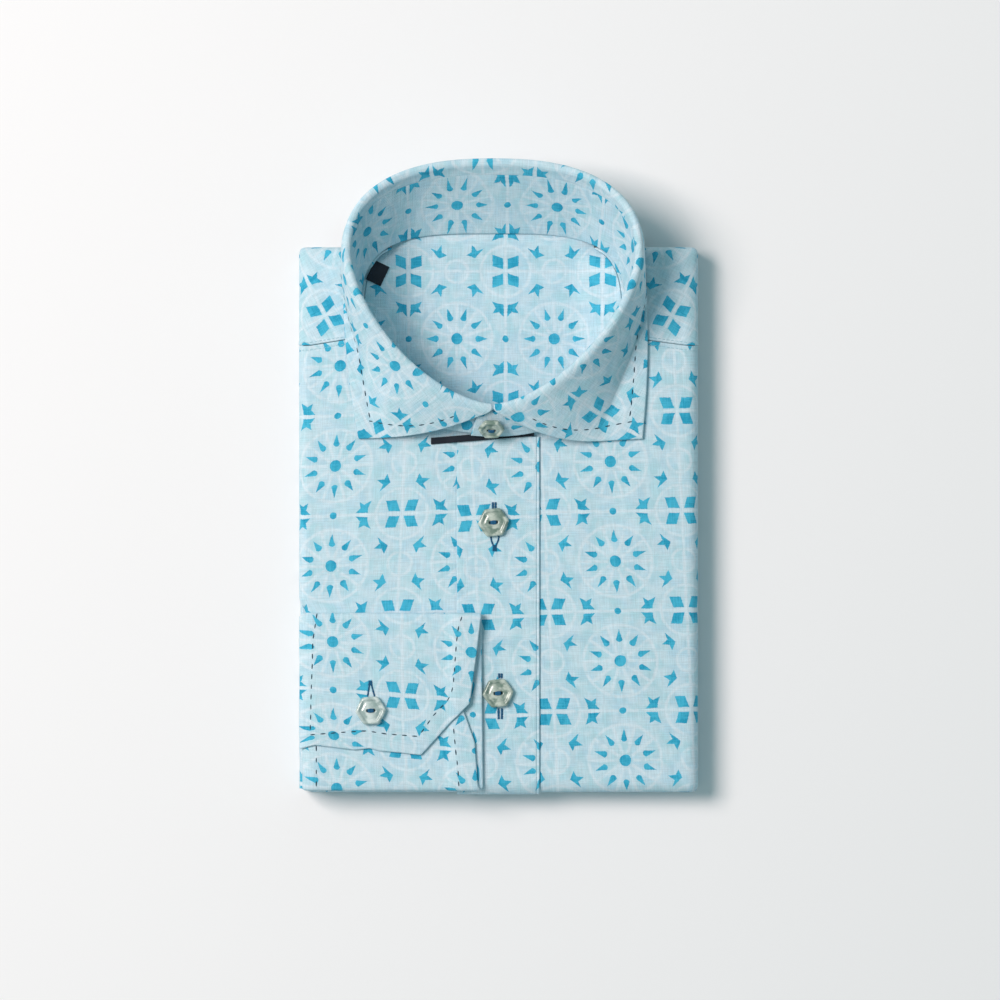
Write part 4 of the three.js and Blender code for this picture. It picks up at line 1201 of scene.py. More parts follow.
def leaf_edge(degrees):
    """The edge of the leaves: on the fronts and the shoulders, and low behind the packet at the back."""
    c = np.cos(np.radians(degrees))
    s = np.sin(np.radians(degrees))
    side, point, bow = (np.where(c > 0, getattr(RIGHT_LEAF, key), getattr(LEFT_LEAF, key))
                        for key in ("side", "point", "bow"))
    power = 2 / NECK_OVAL.back_power
    back_x = side * np.sign(c) * np.abs(c) ** power
    back_y = LEAF_SIDE_Y + LEAF_BACK_DEPTH * np.abs(s) ** power
    from_side = 90 - np.abs(90 - degrees)
    back_z = mix(THICKNESS + LEAF_RISE, LEAF_BACK_HEIGHT, smooth((from_side - 10) / 35))
    w = np.maximum(0, -s)
    front_x = np.sign(c) * (mix(side, point, w**1.5) + bow * np.sin(math.pi * w))
    front_y = mix(LEAF_SIDE_Y, LEAF_FRONT_Y, w)
    front_z = top_height(COLLAR_X + front_x, front_y) + LEAF_RISE
    at_back = s > 0
    x = COLLAR_X + np.where(at_back, back_x, front_x)
    return points_of(x, np.where(at_back, back_y, front_y), np.where(at_back, back_z, front_z))


class Stand:
    """The stand's slope at each angle, and the direction square to it that faces the leaf."""

    def __init__(self, degrees):
        self.low = neck_seam(degrees)
        self.fold = fold_place(degrees)
        along = fold_place(degrees + 0.5) - fold_place(degrees - 0.5)
        self.out = unit(points_of(along[:, 1], -along[:, 0], 0 * along[:, 0]))
        self.rise = unit(self.fold - self.low)
        lean = (self.rise * self.out).sum(-1)
        self.facing = unit(self.out * self.rise[:, 2:3] - lean[:, None] * np.array([0, 0, 1.0]))

    def beside_fold(self, back, side):
        return self.fold - self.rise * back + self.facing * side * ROLL_WIDTH / 2

    def at(self, share):
        """A point between the neck seam (0) and the fold's inner side (1)."""
        top = self.beside_fold(ROLL_DROP, -1)
        return self.low + (top - self.low) * share + self.facing * 0.8 * math.sin(math.pi * share)


def spaced_angles(start, end, step, rim):
    """Angles whose points on the fold are evenly far apart, close together at both ends."""
    fine = np.linspace(start, end, 1441)
    reach = run_along(fold_place(fine))
    places = stations(0, reach[-1], step, rim)
    return np.interp(places, reach, fine)


def centripetal(knots, count):
    """Points along a smooth curve through knots, an array of one row of knots for each section."""
    before = 2 * knots[:, :1] - knots[:, 1:2]
    after = 2 * knots[:, -1:] - knots[:, -2:-1]
    padded = np.concatenate([before, knots, after], axis=1)
    samples = []
    spans = knots.shape[1] - 1
    for place in np.linspace(0, spans, count):
        k = min(int(place), spans - 1)
        t = place - k
        x0, x1, x2, x3 = (padded[:, k + n] for n in range(4))
        d0, d1, d2 = (length_of(b - a)[:, None] ** 0.5 for a, b in ((x0, x1), (x1, x2), (x2, x3)))
        t1 = ((x1 - x0) / d0 - (x2 - x0) / (d0 + d1) + (x2 - x1) / d1) * d1
        t2 = ((x2 - x1) / d1 - (x3 - x1) / (d1 + d2) + (x3 - x2) / d2) * d1
        c2 = -3 * x1 + 3 * x2 - 2 * t1 - t2
        c3 = 2 * x1 - 2 * x2 + t1 + t2
        samples.append(x1 + t1 * t + c2 * t * t + c3 * t**3)
    return np.stack(samples, axis=1)


def resampled(curves, start_part, start_steps, rest_steps, rim):
    """Each curve's points again, close together over its first part and evenly after it."""
    lines = []
    near = np.array([0, 0.07, 0.28, 0.6]) * rim
    for curve in curves:
        reach = run_along(curve)
        whole = reach[-1]
        places = np.concatenate([
            near, np.linspace(rim, start_part, start_steps),
            np.linspace(start_part, whole - rim, rest_steps + 1)[1:], whole - near[::-1],
        ])
        lines.append(np.stack([np.interp(places, reach, curve[:, k]) for k in range(3)], axis=-1))
    return np.array(lines)


FLATTEN_STEPS = 160


def flattened(grid, coarse_rows, coarse_columns):
    """Flat coordinates of a curved piece of cloth, laid out with as little stretch as can be."""
    rows, columns = grid.shape[:2]
    pick_rows = np.unique(np.linspace(0, rows - 1, coarse_rows).round().astype(int))
    pick_columns = np.unique(np.linspace(0, columns - 1, coarse_columns).round().astype(int))
    knots = grid[np.ix_(pick_rows, pick_columns)]
    n, m = knots.shape[:2]
    number = np.arange(n * m).reshape(n, m)
    pairs = np.vstack([
        np.stack([number[:-1].ravel(), number[1:].ravel()], -1),
        np.stack([number[:, :-1].ravel(), number[:, 1:].ravel()], -1),
        np.stack([number[:-1, :-1].ravel(), number[1:, 1:].ravel()], -1),
        np.stack([number[1:, :-1].ravel(), number[:-1, 1:].ravel()], -1),
    ])
    flat_knots = knots.reshape(-1, 3)
    rest = length_of(flat_knots[pairs[:, 0]] - flat_knots[pairs[:, 1]])
    weight = 1 / rest
    matrix = np.zeros((n * m, n * m))
    for (a, b), w in zip(pairs, weight):
        matrix[a, a] += w
        matrix[b, b] += w
        matrix[a, b] -= w
        matrix[b, a] -= w
    matrix += 1e-9 * np.eye(n * m)
    middle = n * m // 2
    matrix[middle, middle] += 1.0
    solve = np.linalg.inv(matrix)
    first, _, left, _ = edge_distances(knots)
    along = first[:, m // 3] - first[n // 2, m // 3]
    flat = np.stack([np.repeat(along[:, None], m, axis=1), left], axis=-1).reshape(-1, 2)
    anchor = flat[middle].copy()
    for _ in range(FLATTEN_STEPS):
        gap = flat[pairs[:, 0]] - flat[pairs[:, 1]]
        wanted = unit(gap) * (rest * weight)[:, None]
        pull = np.zeros_like(flat)
        np.add.at(pull, pairs[:, 0], wanted)
        np.add.at(pull, pairs[:, 1], -wanted)
        pull[middle] += anchor
        flat = solve @ pull
    flat = flat.reshape(n, m, 2)
    by_row = np.stack([
        [np.interp(np.arange(rows), pick_rows, flat[:, j, k]) for j in range(m)] for k in range(2)
    ], axis=-1)
    return np.stack([
        [np.interp(np.arange(columns), pick_columns, by_row[:, i, k]) for i in range(rows)] for k in range(2)
    ], axis=-1)


BAND_ROSETTE = (10.1, 17.0)
FALL_ROSETTE = (2.9, 18.0)
FALL_TILT = 0.037
RIGHT_LEAF_SHIFT = 5.8
PICK_INSET, PICK_INSET_FRONT = 7.2, 9.2


def collar_band():
    degrees = spaced_angles(-90 - TAB_DEGREES, 270 + TAB_DEGREES, 1.8, INTERLINED / 2)
    stand = Stand(degrees)
    fine = np.stack([stand.at(share) for share in np.linspace(0, BAND_SHARE, 60)], axis=1)
    middle = resampled(fine, 4.0, 4, 20, INTERLINED / 2)
    over = smooth((TAB_DEGREES + 22 - np.abs(degrees + 90)) / 18)
    under = smooth((TAB_DEGREES + 22 - np.abs(270 - degrees)) / 18)
    middle = middle + grid_normals(middle) * (LAP_OUT * over - LAP_IN * under)[:, None, None]
    flat = flattened(middle, 90, 5)
    uv = np.stack([flat[..., 1] - BAND_ROSETTE[1], flat[..., 0] - BAND_ROSETTE[0]], axis=-1)
    return Cloth("collar_stand", middle, uv, INTERLINED)


def leaf_points(degrees, stand):
    """Points of each leaf from the roll to its edge: a slope down to a pressed crease, then flat cloth."""
    edge = leaf_edge(degrees)
    w = np.maximum(0, -np.sin(np.radians(degrees)))
    right = np.cos(np.radians(degrees)) > 0
    flat, flat_from, flat_to, bulge_at, bulge_fall, front_y = (
        np.where(right, getattr(RIGHT_LEAF, key), getattr(LEFT_LEAF, key))
        for key in ("flat", "flat_from", "flat_to", "bulge_at", "bulge_fall", "front_edge"))
    start = stand.beside_fold(ROLL_DROP, 1)
    front_x = COLLAR_X + np.where(right, LEAF_REACH, -LEAF_REACH)
    front_edge = points_of(front_x, front_y, mix(start[:, 2], edge[:, 2], 0.6))
    at_front = smooth((w - 0.86) / 0.14)[:, None]
    inwards = (mix(start, front_edge, at_front) - edge) * (1, 1, 0)
    share = np.clip((w - flat_from) / (flat_to - flat_from), 0, 1)
    pressed = edge + unit(inwards) * np.minimum(flat * share, length_of(inwards) * 0.7)[:, None]
    pressed_z = top_height(pressed[:, 0], pressed[:, 1]) + LEAF_RISE + CREASE_LIFT
    pressed[:, 2] = mix(edge[:, 2], pressed_z, smooth(share * 3))
    hanging = edge + unit(start - edge) * HEM_PART
    crease = mix(hanging, pressed, smooth(share * 5)[:, None])
    bulge = mix(start, crease, mix(0.5, bulge_at, w)[:, None]) + stand.out * mix(1.2, 2.4, w)[:, None]
    bulge[:, 2] = mix(start[:, 2], crease[:, 2], mix(0.42, bulge_fall, w))
    bulge = mix(bulge, front_edge, at_front)
    places = [start * (1 - t) ** 2 + bulge * 2 * t * (1 - t) + crease * t * t
              for t in (0, 0.15, 0.3, 0.45, 0.6, 0.75, 0.9)]
    return [*places, crease, mix(crease, edge, 0.4), edge]


def fall_knots(degrees):
    """Knots of each section of the fall: up the inside, over the roll, and down to the leaf's edge."""
    stand = Stand(degrees)
    inside = [stand.at(share) for share in (FALL_SHARE, 0.93, 1.0)]
    return np.stack([*inside, stand.fold, *leaf_points(degrees, stand)], axis=1)


def collar_fall():
    degrees = spaced_angles(-89.1, 269.1, 1.5, INTERLINED / 2)
    curves = centripetal(fall_knots(degrees), 360)
    middle = resampled(curves, 13.0, 22, 42, INTERLINED / 2)
    flat = flattened(middle, 90, 14)
    from_right = np.linspace(0, 1, len(flat))[:, None]
    ring = flat[..., 0]
    across = flat[..., 1]
    along = ring + RIGHT_LEAF_SHIFT * smooth((0.6 - from_right) / 0.35)
    uv = np.stack([across - FALL_ROSETTE[1] - FALL_TILT * ring, along - FALL_ROSETTE[0]], axis=-1)
    middle = middle[::-1]
    stitched = 0.1 * ridge(edge_distances(middle)[3] - PICK_INSET, 0.8)
    middle = middle - grid_normals(middle) * stitched[..., None]
    return Cloth("collar_leaves", middle, uv[::-1], INTERLINED)


TAPE_ENDS = ((-32.4, -93.2), (17.0, -89.2))
TAPE_WIDTH, TAPE_WALL = 3.2, 0.8
LABEL_PLACE, LABEL_TURN = (-58.0, -12.6), math.radians(-25)
LABEL_WIDTH, LABEL_HEIGHT, LABEL_WALL = 7.8, 10.2, 0.7


def neck_tape():
    """The tape that shows under the stand's front, over the placket's top."""
    left, right = (np.array(end) for end in TAPE_ENDS)
    us = stations(0, 1, 0.025, 0.008)
    vs = stations(-TAPE_WIDTH / 2, TAPE_WIDTH / 2, 0.5, TAPE_WALL / 2)
    x = np.repeat(mix(left[0], right[0], us)[:, None], len(vs), axis=1)
    y = mix(left[1], right[1], us)[:, None] + vs[None, :]
    middle = points_of(x, y, top_height(x, y) + over_placket(x) + GAP + TAPE_WALL / 2)
    return Cloth("dark_neck_tape", middle, middle[..., :2], TAPE_WALL, tape(), "navy_tape")


def size_label():
    """A plain woven label on the yoke's inside, with its two ends lifted a little."""
    us = stations(-LABEL_WIDTH / 2, LABEL_WIDTH / 2, 0.6, LABEL_WALL / 2)[:, None]
    vs = stations(-LABEL_HEIGHT / 2, LABEL_HEIGHT / 2, 0.6, LABEL_WALL / 2)[None, :]
    x = LABEL_PLACE[0] + us * math.cos(LABEL_TURN) - vs * math.sin(LABEL_TURN)
    y = LABEL_PLACE[1] + us * math.sin(LABEL_TURN) + vs * math.cos(LABEL_TURN)
    lift = 0.35 * smooth((np.abs(us) + 0 * vs - 2.2) / 2) ** 2
    middle = points_of(x, y, inner_yoke_height(x, y) + WALL + GAP + 0.6 + lift)
    return Cloth("woven_size_label", middle, middle[..., :2], LABEL_WALL, tape(), "navy_tape")


# The cuff and the sleeve.


def hem_drop(y):
    past = np.clip(FLAT_FOOT - y, 0, EDGE_RADIUS)
    return 0.5 * (EDGE_RADIUS - np.sqrt(EDGE_RADIUS**2 - past**2))


def round_sleeve_edge(a, y, h):
    past = np.maximum(0, SLEEVE_ARC_X - a)
    radius = EDGE_RADIUS + SLEEVE_WALL / 2
    turn = np.minimum(past / radius, math.pi / 2)
    straight = np.maximum(0, past - math.pi / 2 * radius)
    x = np.maximum(a, SLEEVE_ARC_X) - (EDGE_RADIUS + h) * np.sin(turn)
    flat_z = top_height(np.maximum(a, SLEEVE_ARC_X), y) + over_placket(x) - hem_drop(y)
    return points_of(x, y, flat_z - EDGE_RADIUS + (EDGE_RADIUS + h) * np.cos(turn) - straight)


# The cuff's two rolls, and the places of its hand edge: y, and x on the flap and on the layer under it.
TOP_ROLL = (FLAP_HEIGHT - LOWER_HEIGHT) / 2
FOOT_ROLL = (UNDERLAP_HEIGHT - LOWER_HEIGHT) / 2
FLAP_TOP, UNDERLAP_FOOT = CUFF_FOLD - TOP_ROLL, CUFF_FOOT + FOOT_ROLL
FLAP_HAND_Y = (CUFF_END, MITRE_START, -205, -190, FLAP_TOP)
FLAP_HAND_X = (-37.2, -13.7, -11.8, -9.8, -8.5)
LOWER_HAND_X = (-8.2, -7.4)
UNDERLAP_HAND_Y = (CUFF_FOOT, FLAT_FOOT, -237.6, -222.7, UNDERLAP_END)
UNDERLAP_HAND_X = (-9.4, -10, -11.3, -16.6, -30)

# How far the flap's end wanders from its straight line, by x, and the crease beside its corner.
FLAP_END_X = (-95.3, -88.1, -78.0, -68.9, -61.7, -56.9, -47.3, -38.0)
FLAP_END_SHIFT = (0.4, 3.4, 2.2, 1.1, 1.9, 0.6, -0.2, -1.3)
CORNER_CREASE = ((-87.6, -233.4), (-94.6, -240.0))


def cuff_profile():
    """The cuff's loop as a table of places: y, height, and the hand edge's x."""
    rows = []
    for y in stations(CUFF_END, FLAP_TOP, 1.4, INTERLINED / 2)[:-RIM_POINTS]:
        rows.append((y, FLAP_HEIGHT, np.interp(y, FLAP_HAND_Y, FLAP_HAND_X)))
    for turn in np.radians(range(12, 180, 12)):
        y = FLAP_TOP + TOP_ROLL * math.sin(turn)
        rows.append((y, LOWER_HEIGHT + TOP_ROLL * (1 + math.cos(turn)), -8.3))
    for y in np.linspace(FLAP_TOP, UNDERLAP_FOOT, 46):
        rows.append((y, LOWER_HEIGHT, mix(*LOWER_HAND_X, (CUFF_FOLD - y) / (CUFF_FOLD - CUFF_FOOT))))
    for turn in np.radians(range(15, 180, 15)):
        y = UNDERLAP_FOOT - FOOT_ROLL * math.sin(turn)
        hand = mix(LOWER_HAND_X[1], UNDERLAP_HAND_X[0], turn / math.pi)
        rows.append((y, LOWER_HEIGHT + FOOT_ROLL * (1 - math.cos(turn)), hand))
    for y in stations(UNDERLAP_FOOT, UNDERLAP_END, 1.4, INTERLINED / 2)[RIM_POINTS:]:
        rows.append((y, UNDERLAP_HEIGHT, np.interp(y, UNDERLAP_HAND_Y, UNDERLAP_HAND_X)))
    return np.array(rows)


def cuff():
    """The cuff: a flap on top, folded back over a lower layer that is folded again under its end."""
    rows = cuff_profile()
    us = stations(0, 1, 0.018, 0.009)
    level = rows[:, 1:2]
    hand = rows[:, 2:3]
    a = CUFF_SEAM + (hand - CUFF_SEAM) * us[None, :]
    flap = smooth((level - 3.4) / 0.6)
    y = np.repeat(rows[:, :1], len(us), axis=1)
    y = y + flap * np.interp(a, FLAP_END_X, FLAP_END_SHIFT) * smooth((CUFF_END + 16 - y) / 16)
    ease = smooth(np.minimum(hand - a, y - CUFF_END) / 10) * smooth((a - CUFF_SEAM) / 14)
    (x0, y0), (x1, y1) = CORNER_CREASE
    size = math.hypot(x1 - x0, y1 - y0)
    along = ((a - x0) * (x1 - x0) + (y - y0) * (y1 - y0)) / size
    across = ((a - x0) * (y1 - y0) - (y - y0) * (x1 - x0)) / size
    corner = ridge(across, 1.3) * smooth(along / 4)
    puff = flap * (0.35 * ease + 0.16 * rumple(a, y, 8, 40, 10) - 0.45 * corner)
    middle = round_sleeve_edge(a, y, level + puff)[:, ::-1]
    loop = run_along(rows[:, :2])
    foot_row = int(np.argmin(rows[:, 0]))

    def printed(lay, start):
        places = np.repeat((start + loop)[:, None], len(us), axis=1)
        return lay.coordinates(np.stack([a, places], axis=-1))

    on_flap = printed(CUFF_LAY, CUFF_END)
    on_underlap = printed(UNDERLAP_LAY, CUFF_FOOT - loop[foot_row])
    under_share = smooth((np.arange(len(rows)) - foot_row + 44) / 40)[:, None, None]
    return Cloth("folded_cuff", middle, mix(on_flap, on_underlap, under_share)[:, ::-1], INTERLINED)


# The sleeve's edge where it is tucked in between the layers: x and height of its outer and its inner side.
TUCK_OUTER = ((-95.6, 9.6), (-95.2, 8.6), (-94.4, 7.9), (-92.5, 7.75), (TUCK_X, 7.7))
TUCK_INNER = ((-93.1, 10.2), (-92.9, 9.5), (-92.8, 9.2), (-92.0, 9.0), (TUCK_X, 9.0))


def sleeve():
    """The sleeve behind the cuff: a double layer that turns round the packet's side and is tucked in."""
    start = CUFF_SEAM - GAP
    side_end = SLEEVE_ARC_X - math.pi / 2 * (EDGE_RADIUS + SLEEVE_WALL / 2) - 1
    ys = stations(SLEEVE_FOOT, SLEEVE_TOP, 1.8, 0.8)
    wave = 0.25 * rumple(ys * 0, ys, 15, 40, 12, 8)
    outer = []
    inner = []
    for k, a in enumerate(np.linspace(start, side_end, 14)):
        places = np.full(len(ys), a)
        outer.append(round_sleeve_edge(places, ys, GAP + SLEEVE_WALL + wave * min(1, k / 3)))
        inner.append(round_sleeve_edge(places, ys, GAP))
    outer = np.array(outer + [points_of(x, ys, z) for x, z in TUCK_OUTER])
    inner = np.array(inner + [points_of(x, ys, z) for x, z in TUCK_INNER])
    first, last = mix(outer[:1], inner[:1], 0.5), mix(outer[-1:], inner[-1:], 0.5)
    ring = np.concatenate([outer, last, inner[::-1], first])
    count, across = ring.shape[:2]
    number = np.arange(count * across).reshape(count, across)
    faces = [tuple(face) for face in grid_faces(np.vstack([number, number[:1]]))]
    caps = [tuple(number[::-1, 0]), tuple(number[:, -1])]
    reach = CUFF_SEAM - run_along(ring[:, 5])
    uv = CUFF_LAY.coordinates(points_of(reach[:, None], ys[None, :]))
    piece = mesh_object("sleeve_round_edge", ring, faces + caps, uv)
    face_outwards(piece)
    finish(piece, linen(), node="sleeve")


# Buttons and buttonholes.
HOLE_RADIUS = 0.85
HOLE_SPACING = 2.7
BUTTON_SIDES = 96
DRILL_FROM, DRILL_TO = -1.0, 4.0
THREAD_RADIUS, THREAD_ACROSS, THREAD_STRANDS = 0.23, 0.4, 5
THREAD_HEIGHT, THREAD_ARCH, THREAD_DIP = 2.62, 0.32, 1.5

# A button's section, from the middle of its underside to the middle of its top: share of its radius, height.
BUTTON_SECTION = [
    (0.5, 0.15), (0.8, 0.0), (0.93, 0.25), (0.985, 0.75), (1.0, 1.3), (0.99, 1.9), (0.955, 2.45),
    (0.9, 2.75), (0.84, 2.85), (0.78, 2.72), (0.73, 2.4), (0.68, 2.16), (0.62, 2.14), (0.56, 2.28),
    (0.5, 2.4), (0.4, 2.46), (0.25, 2.44), (0.1, 2.4),
]


class ButtonPlace(NamedTuple):
    name: str
    node: str
    across: float
    x: float
    y: float
    turn: float
    shell: str


FLAT_BUTTONS = (
    ButtonPlace("upper_front_button", "button_front_upper", 15.6, -2.4, -132.2, 6, "shell"),
    ButtonPlace("lower_front_button", "button_front_lower", 15.6, -0.2, -214.1, 6, "shell"),
    ButtonPlace("cuff_shell_button", "button_cuff", 15.4, -61.2, -222.3, 4, "cuff_shell"),
)
FLAT_BUTTON_LIFT = 0.35

# The collar's button lies against the stand: its width and place, its height off the cloth, and its lean.
COLLAR_BUTTON, COLLAR_BUTTON_X, COLLAR_BUTTON_SHARE = 13.2, -3.4, 0.42
COLLAR_BUTTON_LIFT, COLLAR_BUTTON_LEAN = 0.75, math.radians(7)

# The sewn ends of the buttonholes, and the legs beside each opening.
BUTTONHOLE_TACKS = [
    [(-2.7, -125.4), (-2.7, -122.7)], [(-1.4, -125.4), (-1.4, -122.7)],
    [(-2.4, -145.9), (-2.2, -143.2)], [(-1.3, -145.9), (-1.4, -143.2)],
    [(0.3, -206.8), (0.3, -204.8)], [(1.5, -206.8), (1.5, -204.8)],
    [(0.1, -226.4), (0.0, -221.6)], [(1.6, -226.4), (1.7, -221.6)],
    [(-61.9, -210.0), (-61.7, -208.2)], [(-60.9, -210.0), (-61.1, -208.2)],
]
BUTTONHOLE_LEGS = [
    [(-3.7, -138.6), (-3.4, -141.0), (-2.4, -143.6)], [(0.3, -138.6), (-0.2, -141.0), (-1.3, -143.6)],
    [(-62.7, -215.4), (-61.8, -209.6)], [(-59.4, -215.4), (-61.0, -209.6)],
]


def hexagon_radius(angle):
    """A six-sided outline of corner radius 1 with rounded corners."""
    turned = (angle + math.pi / 6) % (math.pi / 3) - math.pi / 6
    flat = math.cos(math.pi / 6) / math.cos(math.pi / 6 - abs(turned))
    return (flat**-22 + 0.985**-22) ** (-1 / 22)


def round_points(radius, sides, x=0.0, y=0.0):
    angles = 2 * math.pi * np.arange(sides) / sides
    return [(x + radius * math.cos(angle), y + radius * math.sin(angle)) for angle in angles]


def shell_button(name, node, across, base, turn, tilt, shell):
    """A six-sided button with two holes. Base is the middle of its underside."""
    angles = 2 * math.pi * np.arange(BUTTON_SIDES) / BUTTON_SIDES
    points = []
    for share, z in BUTTON_SECTION:
        for angle in angles:
            radius = across / 2 * share * mix(1.0, hexagon_radius(angle), min(1, share * 1.6))
            points.append((radius * math.cos(angle), radius * math.sin(angle), z))
    piece = mesh_object(name, points, ring_faces(len(BUTTON_SECTION), BUTTON_SIDES), origin=0)
    for side in (-1, 1):
        outline = round_points(HOLE_RADIUS, 24, side * HOLE_SPACING / 2)
        drill = prism(outline, DRILL_FROM, DRILL_TO)
        cut_out(piece, mesh_object("drill", *drill, smooth_faces=False, origin=0))
    spot = Vector(((np.array(base) + (0, SHOULDER, 0)) * MM).tolist())
    turned = Matrix.Rotation(tilt, 4, "X") @ Matrix.Rotation(math.radians(turn), 4, "Z")
    place = Matrix.Translation(spot) @ turned
    piece.data.transform(place)
    piece.data.name = name
    finish(piece, shell, node)
    return place


def tube(points, radius, sides=10):
    """Points and faces of a closed round tube along a path, with rounded ends."""
    tangents = unit(np.gradient(points, axis=0))
    side = unit(np.cross(tangents, np.array([0.13, 0.21, 0.97])))
    over = np.cross(side, tangents)
    shares = np.ones(len(points))
    shares[0] = shares[-1] = 0.35
    rings = [points[k] + shares[k] * (a * side[k] + b * over[k])
             for k in range(len(points)) for a, b in round_points(radius, sides)]
    return np.array(rings), ring_faces(len(points), sides)


def button_thread(name, place):
    """Thread sewn through a button's two holes, as arched strands side by side."""
    shares = np.linspace(-1, 1, 13)
    xs = shares * (HOLE_SPACING / 2 + 0.15)
    zs = THREAD_HEIGHT + THREAD_ARCH * (1 - shares**4) - THREAD_DIP * smooth((np.abs(shares) - 0.82) / 0.18)
    points = []
    faces = []
    for strand in range(THREAD_STRANDS):
        offset = (strand - (THREAD_STRANDS - 1) / 2) * THREAD_ACROSS
        ys = offset * (1 - 0.3 * np.abs(shares))
        strand_points, strand_faces = tube(points_of(xs, ys, zs), THREAD_RADIUS)
        faces += [tuple(len(points) + corner for corner in face) for face in strand_faces]
        points += list(strand_points)
    piece = mesh_object(name, points, faces, origin=0)
    piece.data.transform(place)
    face_outwards(piece)
    finish(piece, thread("royal"))


# Where the cuff's hand stitches run: round the flap, and down both sides of the layer under it.
CUFF_STITCH_PATHS = [
    [(-87.2, -177.1), (-89.0, -189.1), (-89.3, -201.1), (-89.8, -213.1), (-90.0, -223.9), (-90.2, -230.4)],
    [(-89.0, -233.9), (-75.1, -232.8), (-63.1, -232.1), (-53.5, -233.6), (-39.1, -234.7), (-36.8, -232.6),
     (-31.0, -224.5), (-24.8, -217.9), (-22.8, -214.9), (-21.6, -209.6), (-20.9, -200.0), (-20.1, -189.1),
     (-19.2, -182.7), (-17.9, -178.4)],
    [(-87.4, -240.6), (-87.4, -257.5)],
    [(-21.4, -232.3), (-20.4, -242.9), (-19.4, -250.6), (-19.1, -257.5)],
]

# Sizes along, across and high, and the pitch, of the cuff's hand stitches, the seams' and the satin stitches.
PICK_ACROSS, PICK_HIGH = 0.62, 0.4
CUFF_PICK, CUFF_PICK_PITCH = (2.6, 0.6, 0.4), 4.8
SEAM_STITCH, SEAM_PITCH = (1.75, 0.34, 0.26), 2.1
SATIN_ALONG, SATIN_HIGH, SATIN_PITCH = 0.45, 0.5, 0.36
SEAM_FROM_NECK = 73.0

# The first points of the fall's front edges lie on the stand and the roll, where no stitch shows.
ROLL_POINTS = 28


def leaf_stitch_lines():
    """Lines of hand stitches beside the leaves' long edge and both of their front edges."""
    fall = cloths["collar_fall"]
    first, last, _, right = fall.distances
    lines = [[pair for k, pair in enumerate(fall.inset_line(3, PICK_INSET))
              if min(first[k, -1], last[k, -1]) > PICK_INSET_FRONT and k % 2 == 0]]
    for side, row in ((0, 0), (1, -1)):
        edge = fall.inset_line(side, PICK_INSET_FRONT)
        lines.append([pair for k, pair in enumerate(edge)
                      if right[row, k] > PICK_INSET + 1 and k > ROLL_POINTS])
    return lines


def seam_lines():
    """Lines of machine stitches: down the placket, and on both sides of each shoulder seam."""
    placket_top = Underlay(cloths["placket"].piece)
    path = [(PLACKET_STITCH_X, PLACKET_TOP - 1), (PLACKET_STITCH_X, FLAT_FOOT)]
    lines = [placket_top.line(path, -0.02, 2.0)]
    for node, side, away in (("front_right", -1, -2.0), ("front_left", 1, -2.0),
                             ("yoke_shoulder_right", -1, 1.6), ("yoke_shoulder_left", 1, 1.6)):
        xs = np.linspace(side * SEAM_FROM_NECK, side * (FLAT_X + 3), 8)
        path = [(x, float(yoke_seam_y(x)) + away) for x in xs]
        lines.append(Underlay(cloths[node].piece).line(path))
    return lines


# Operators, one for each group of pieces. They keep the cloths that later ones sew on.
cloths = {}


def keep(made):
    for node, cloth in made.items():
        cloths[node] = cloth
        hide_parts(node)


class SHIRT_OT_layers(bpy.types.Operator):
    """Make the hidden layers of the folded packet"""

    bl_idname = "shirt.layers"
    bl_label = "Folded layers"

    def execute(self, context):
        folded_layers()
        return {"FINISHED"}


class SHIRT_OT_fronts(bpy.types.Operator):
    """Make both fronts, the yoke's shoulders and the placket"""

    bl_idname = "shirt.fronts"
    bl_label = "Fronts, yoke and placket"

    def execute(self, context):
        made = {
            "front_right": front("right_front", -1, RIGHT_UNDERLAP, FRONT_RIGHT_LAY),
            "front_left": front("left_front", 1, LEFT_EDGE, FRONT_LEFT_LAY),
            "yoke_shoulder_right": yoke_shoulder("right_shoulder", -1, RIGHT_SHOULDER_LAY),
            "yoke_shoulder_left": yoke_shoulder("left_shoulder", 1, LEFT_SHOULDER_LAY),
            "placket": placket(),
        }
        keep(made)
        for node, cloth in made.items():
            cloth.declare(["folded_back_and_sleeves"] if node != "placket" else ["right_front", "left_front"])
        return {"FINISHED"}


class SHIRT_OT_neck(bpy.types.Operator):
    """Make the yoke's inside, the neck tape and the size label"""

    bl_idname = "shirt.neck"
    bl_label = "Inside of the neck"

    def execute(self, context):
        keep({"inner_yoke": inner_yoke(), "neck_tape": neck_tape(), "size_label": size_label()})
        cloths["inner_yoke"].declare(["folded_back_and_sleeves"], "laid", [cloths["size_label"].piece])
        return {"FINISHED"}


class SHIRT_OT_collar(bpy.types.Operator):
    """Make the collar's stand and its turned-down leaves"""

    bl_idname = "shirt.collar"
    bl_label = "Collar"

    def execute(self, context):
        keep({"collar_band": collar_band(), "collar_fall": collar_fall()})
        under = ["right_front", "left_front", "right_shoulder", "left_shoulder"]
        cloths["collar_band"].declare(under, with_pieces=[cloths["neck_tape"].piece])
        cloths["collar_fall"].declare(["collar_stand", "right_front", "left_front"])
        return {"FINISHED"}


class SHIRT_OT_cuff(bpy.types.Operator):
    """Make the folded cuff and the sleeve behind it"""

    bl_idname = "shirt.cuff"
    bl_label = "Cuff and sleeve"

    def execute(self, context):
        keep({"cuff": cuff()})
        cloths["cuff"].declare(["right_front", "front_placket"])
        sleeve()
        return {"FINISHED"}


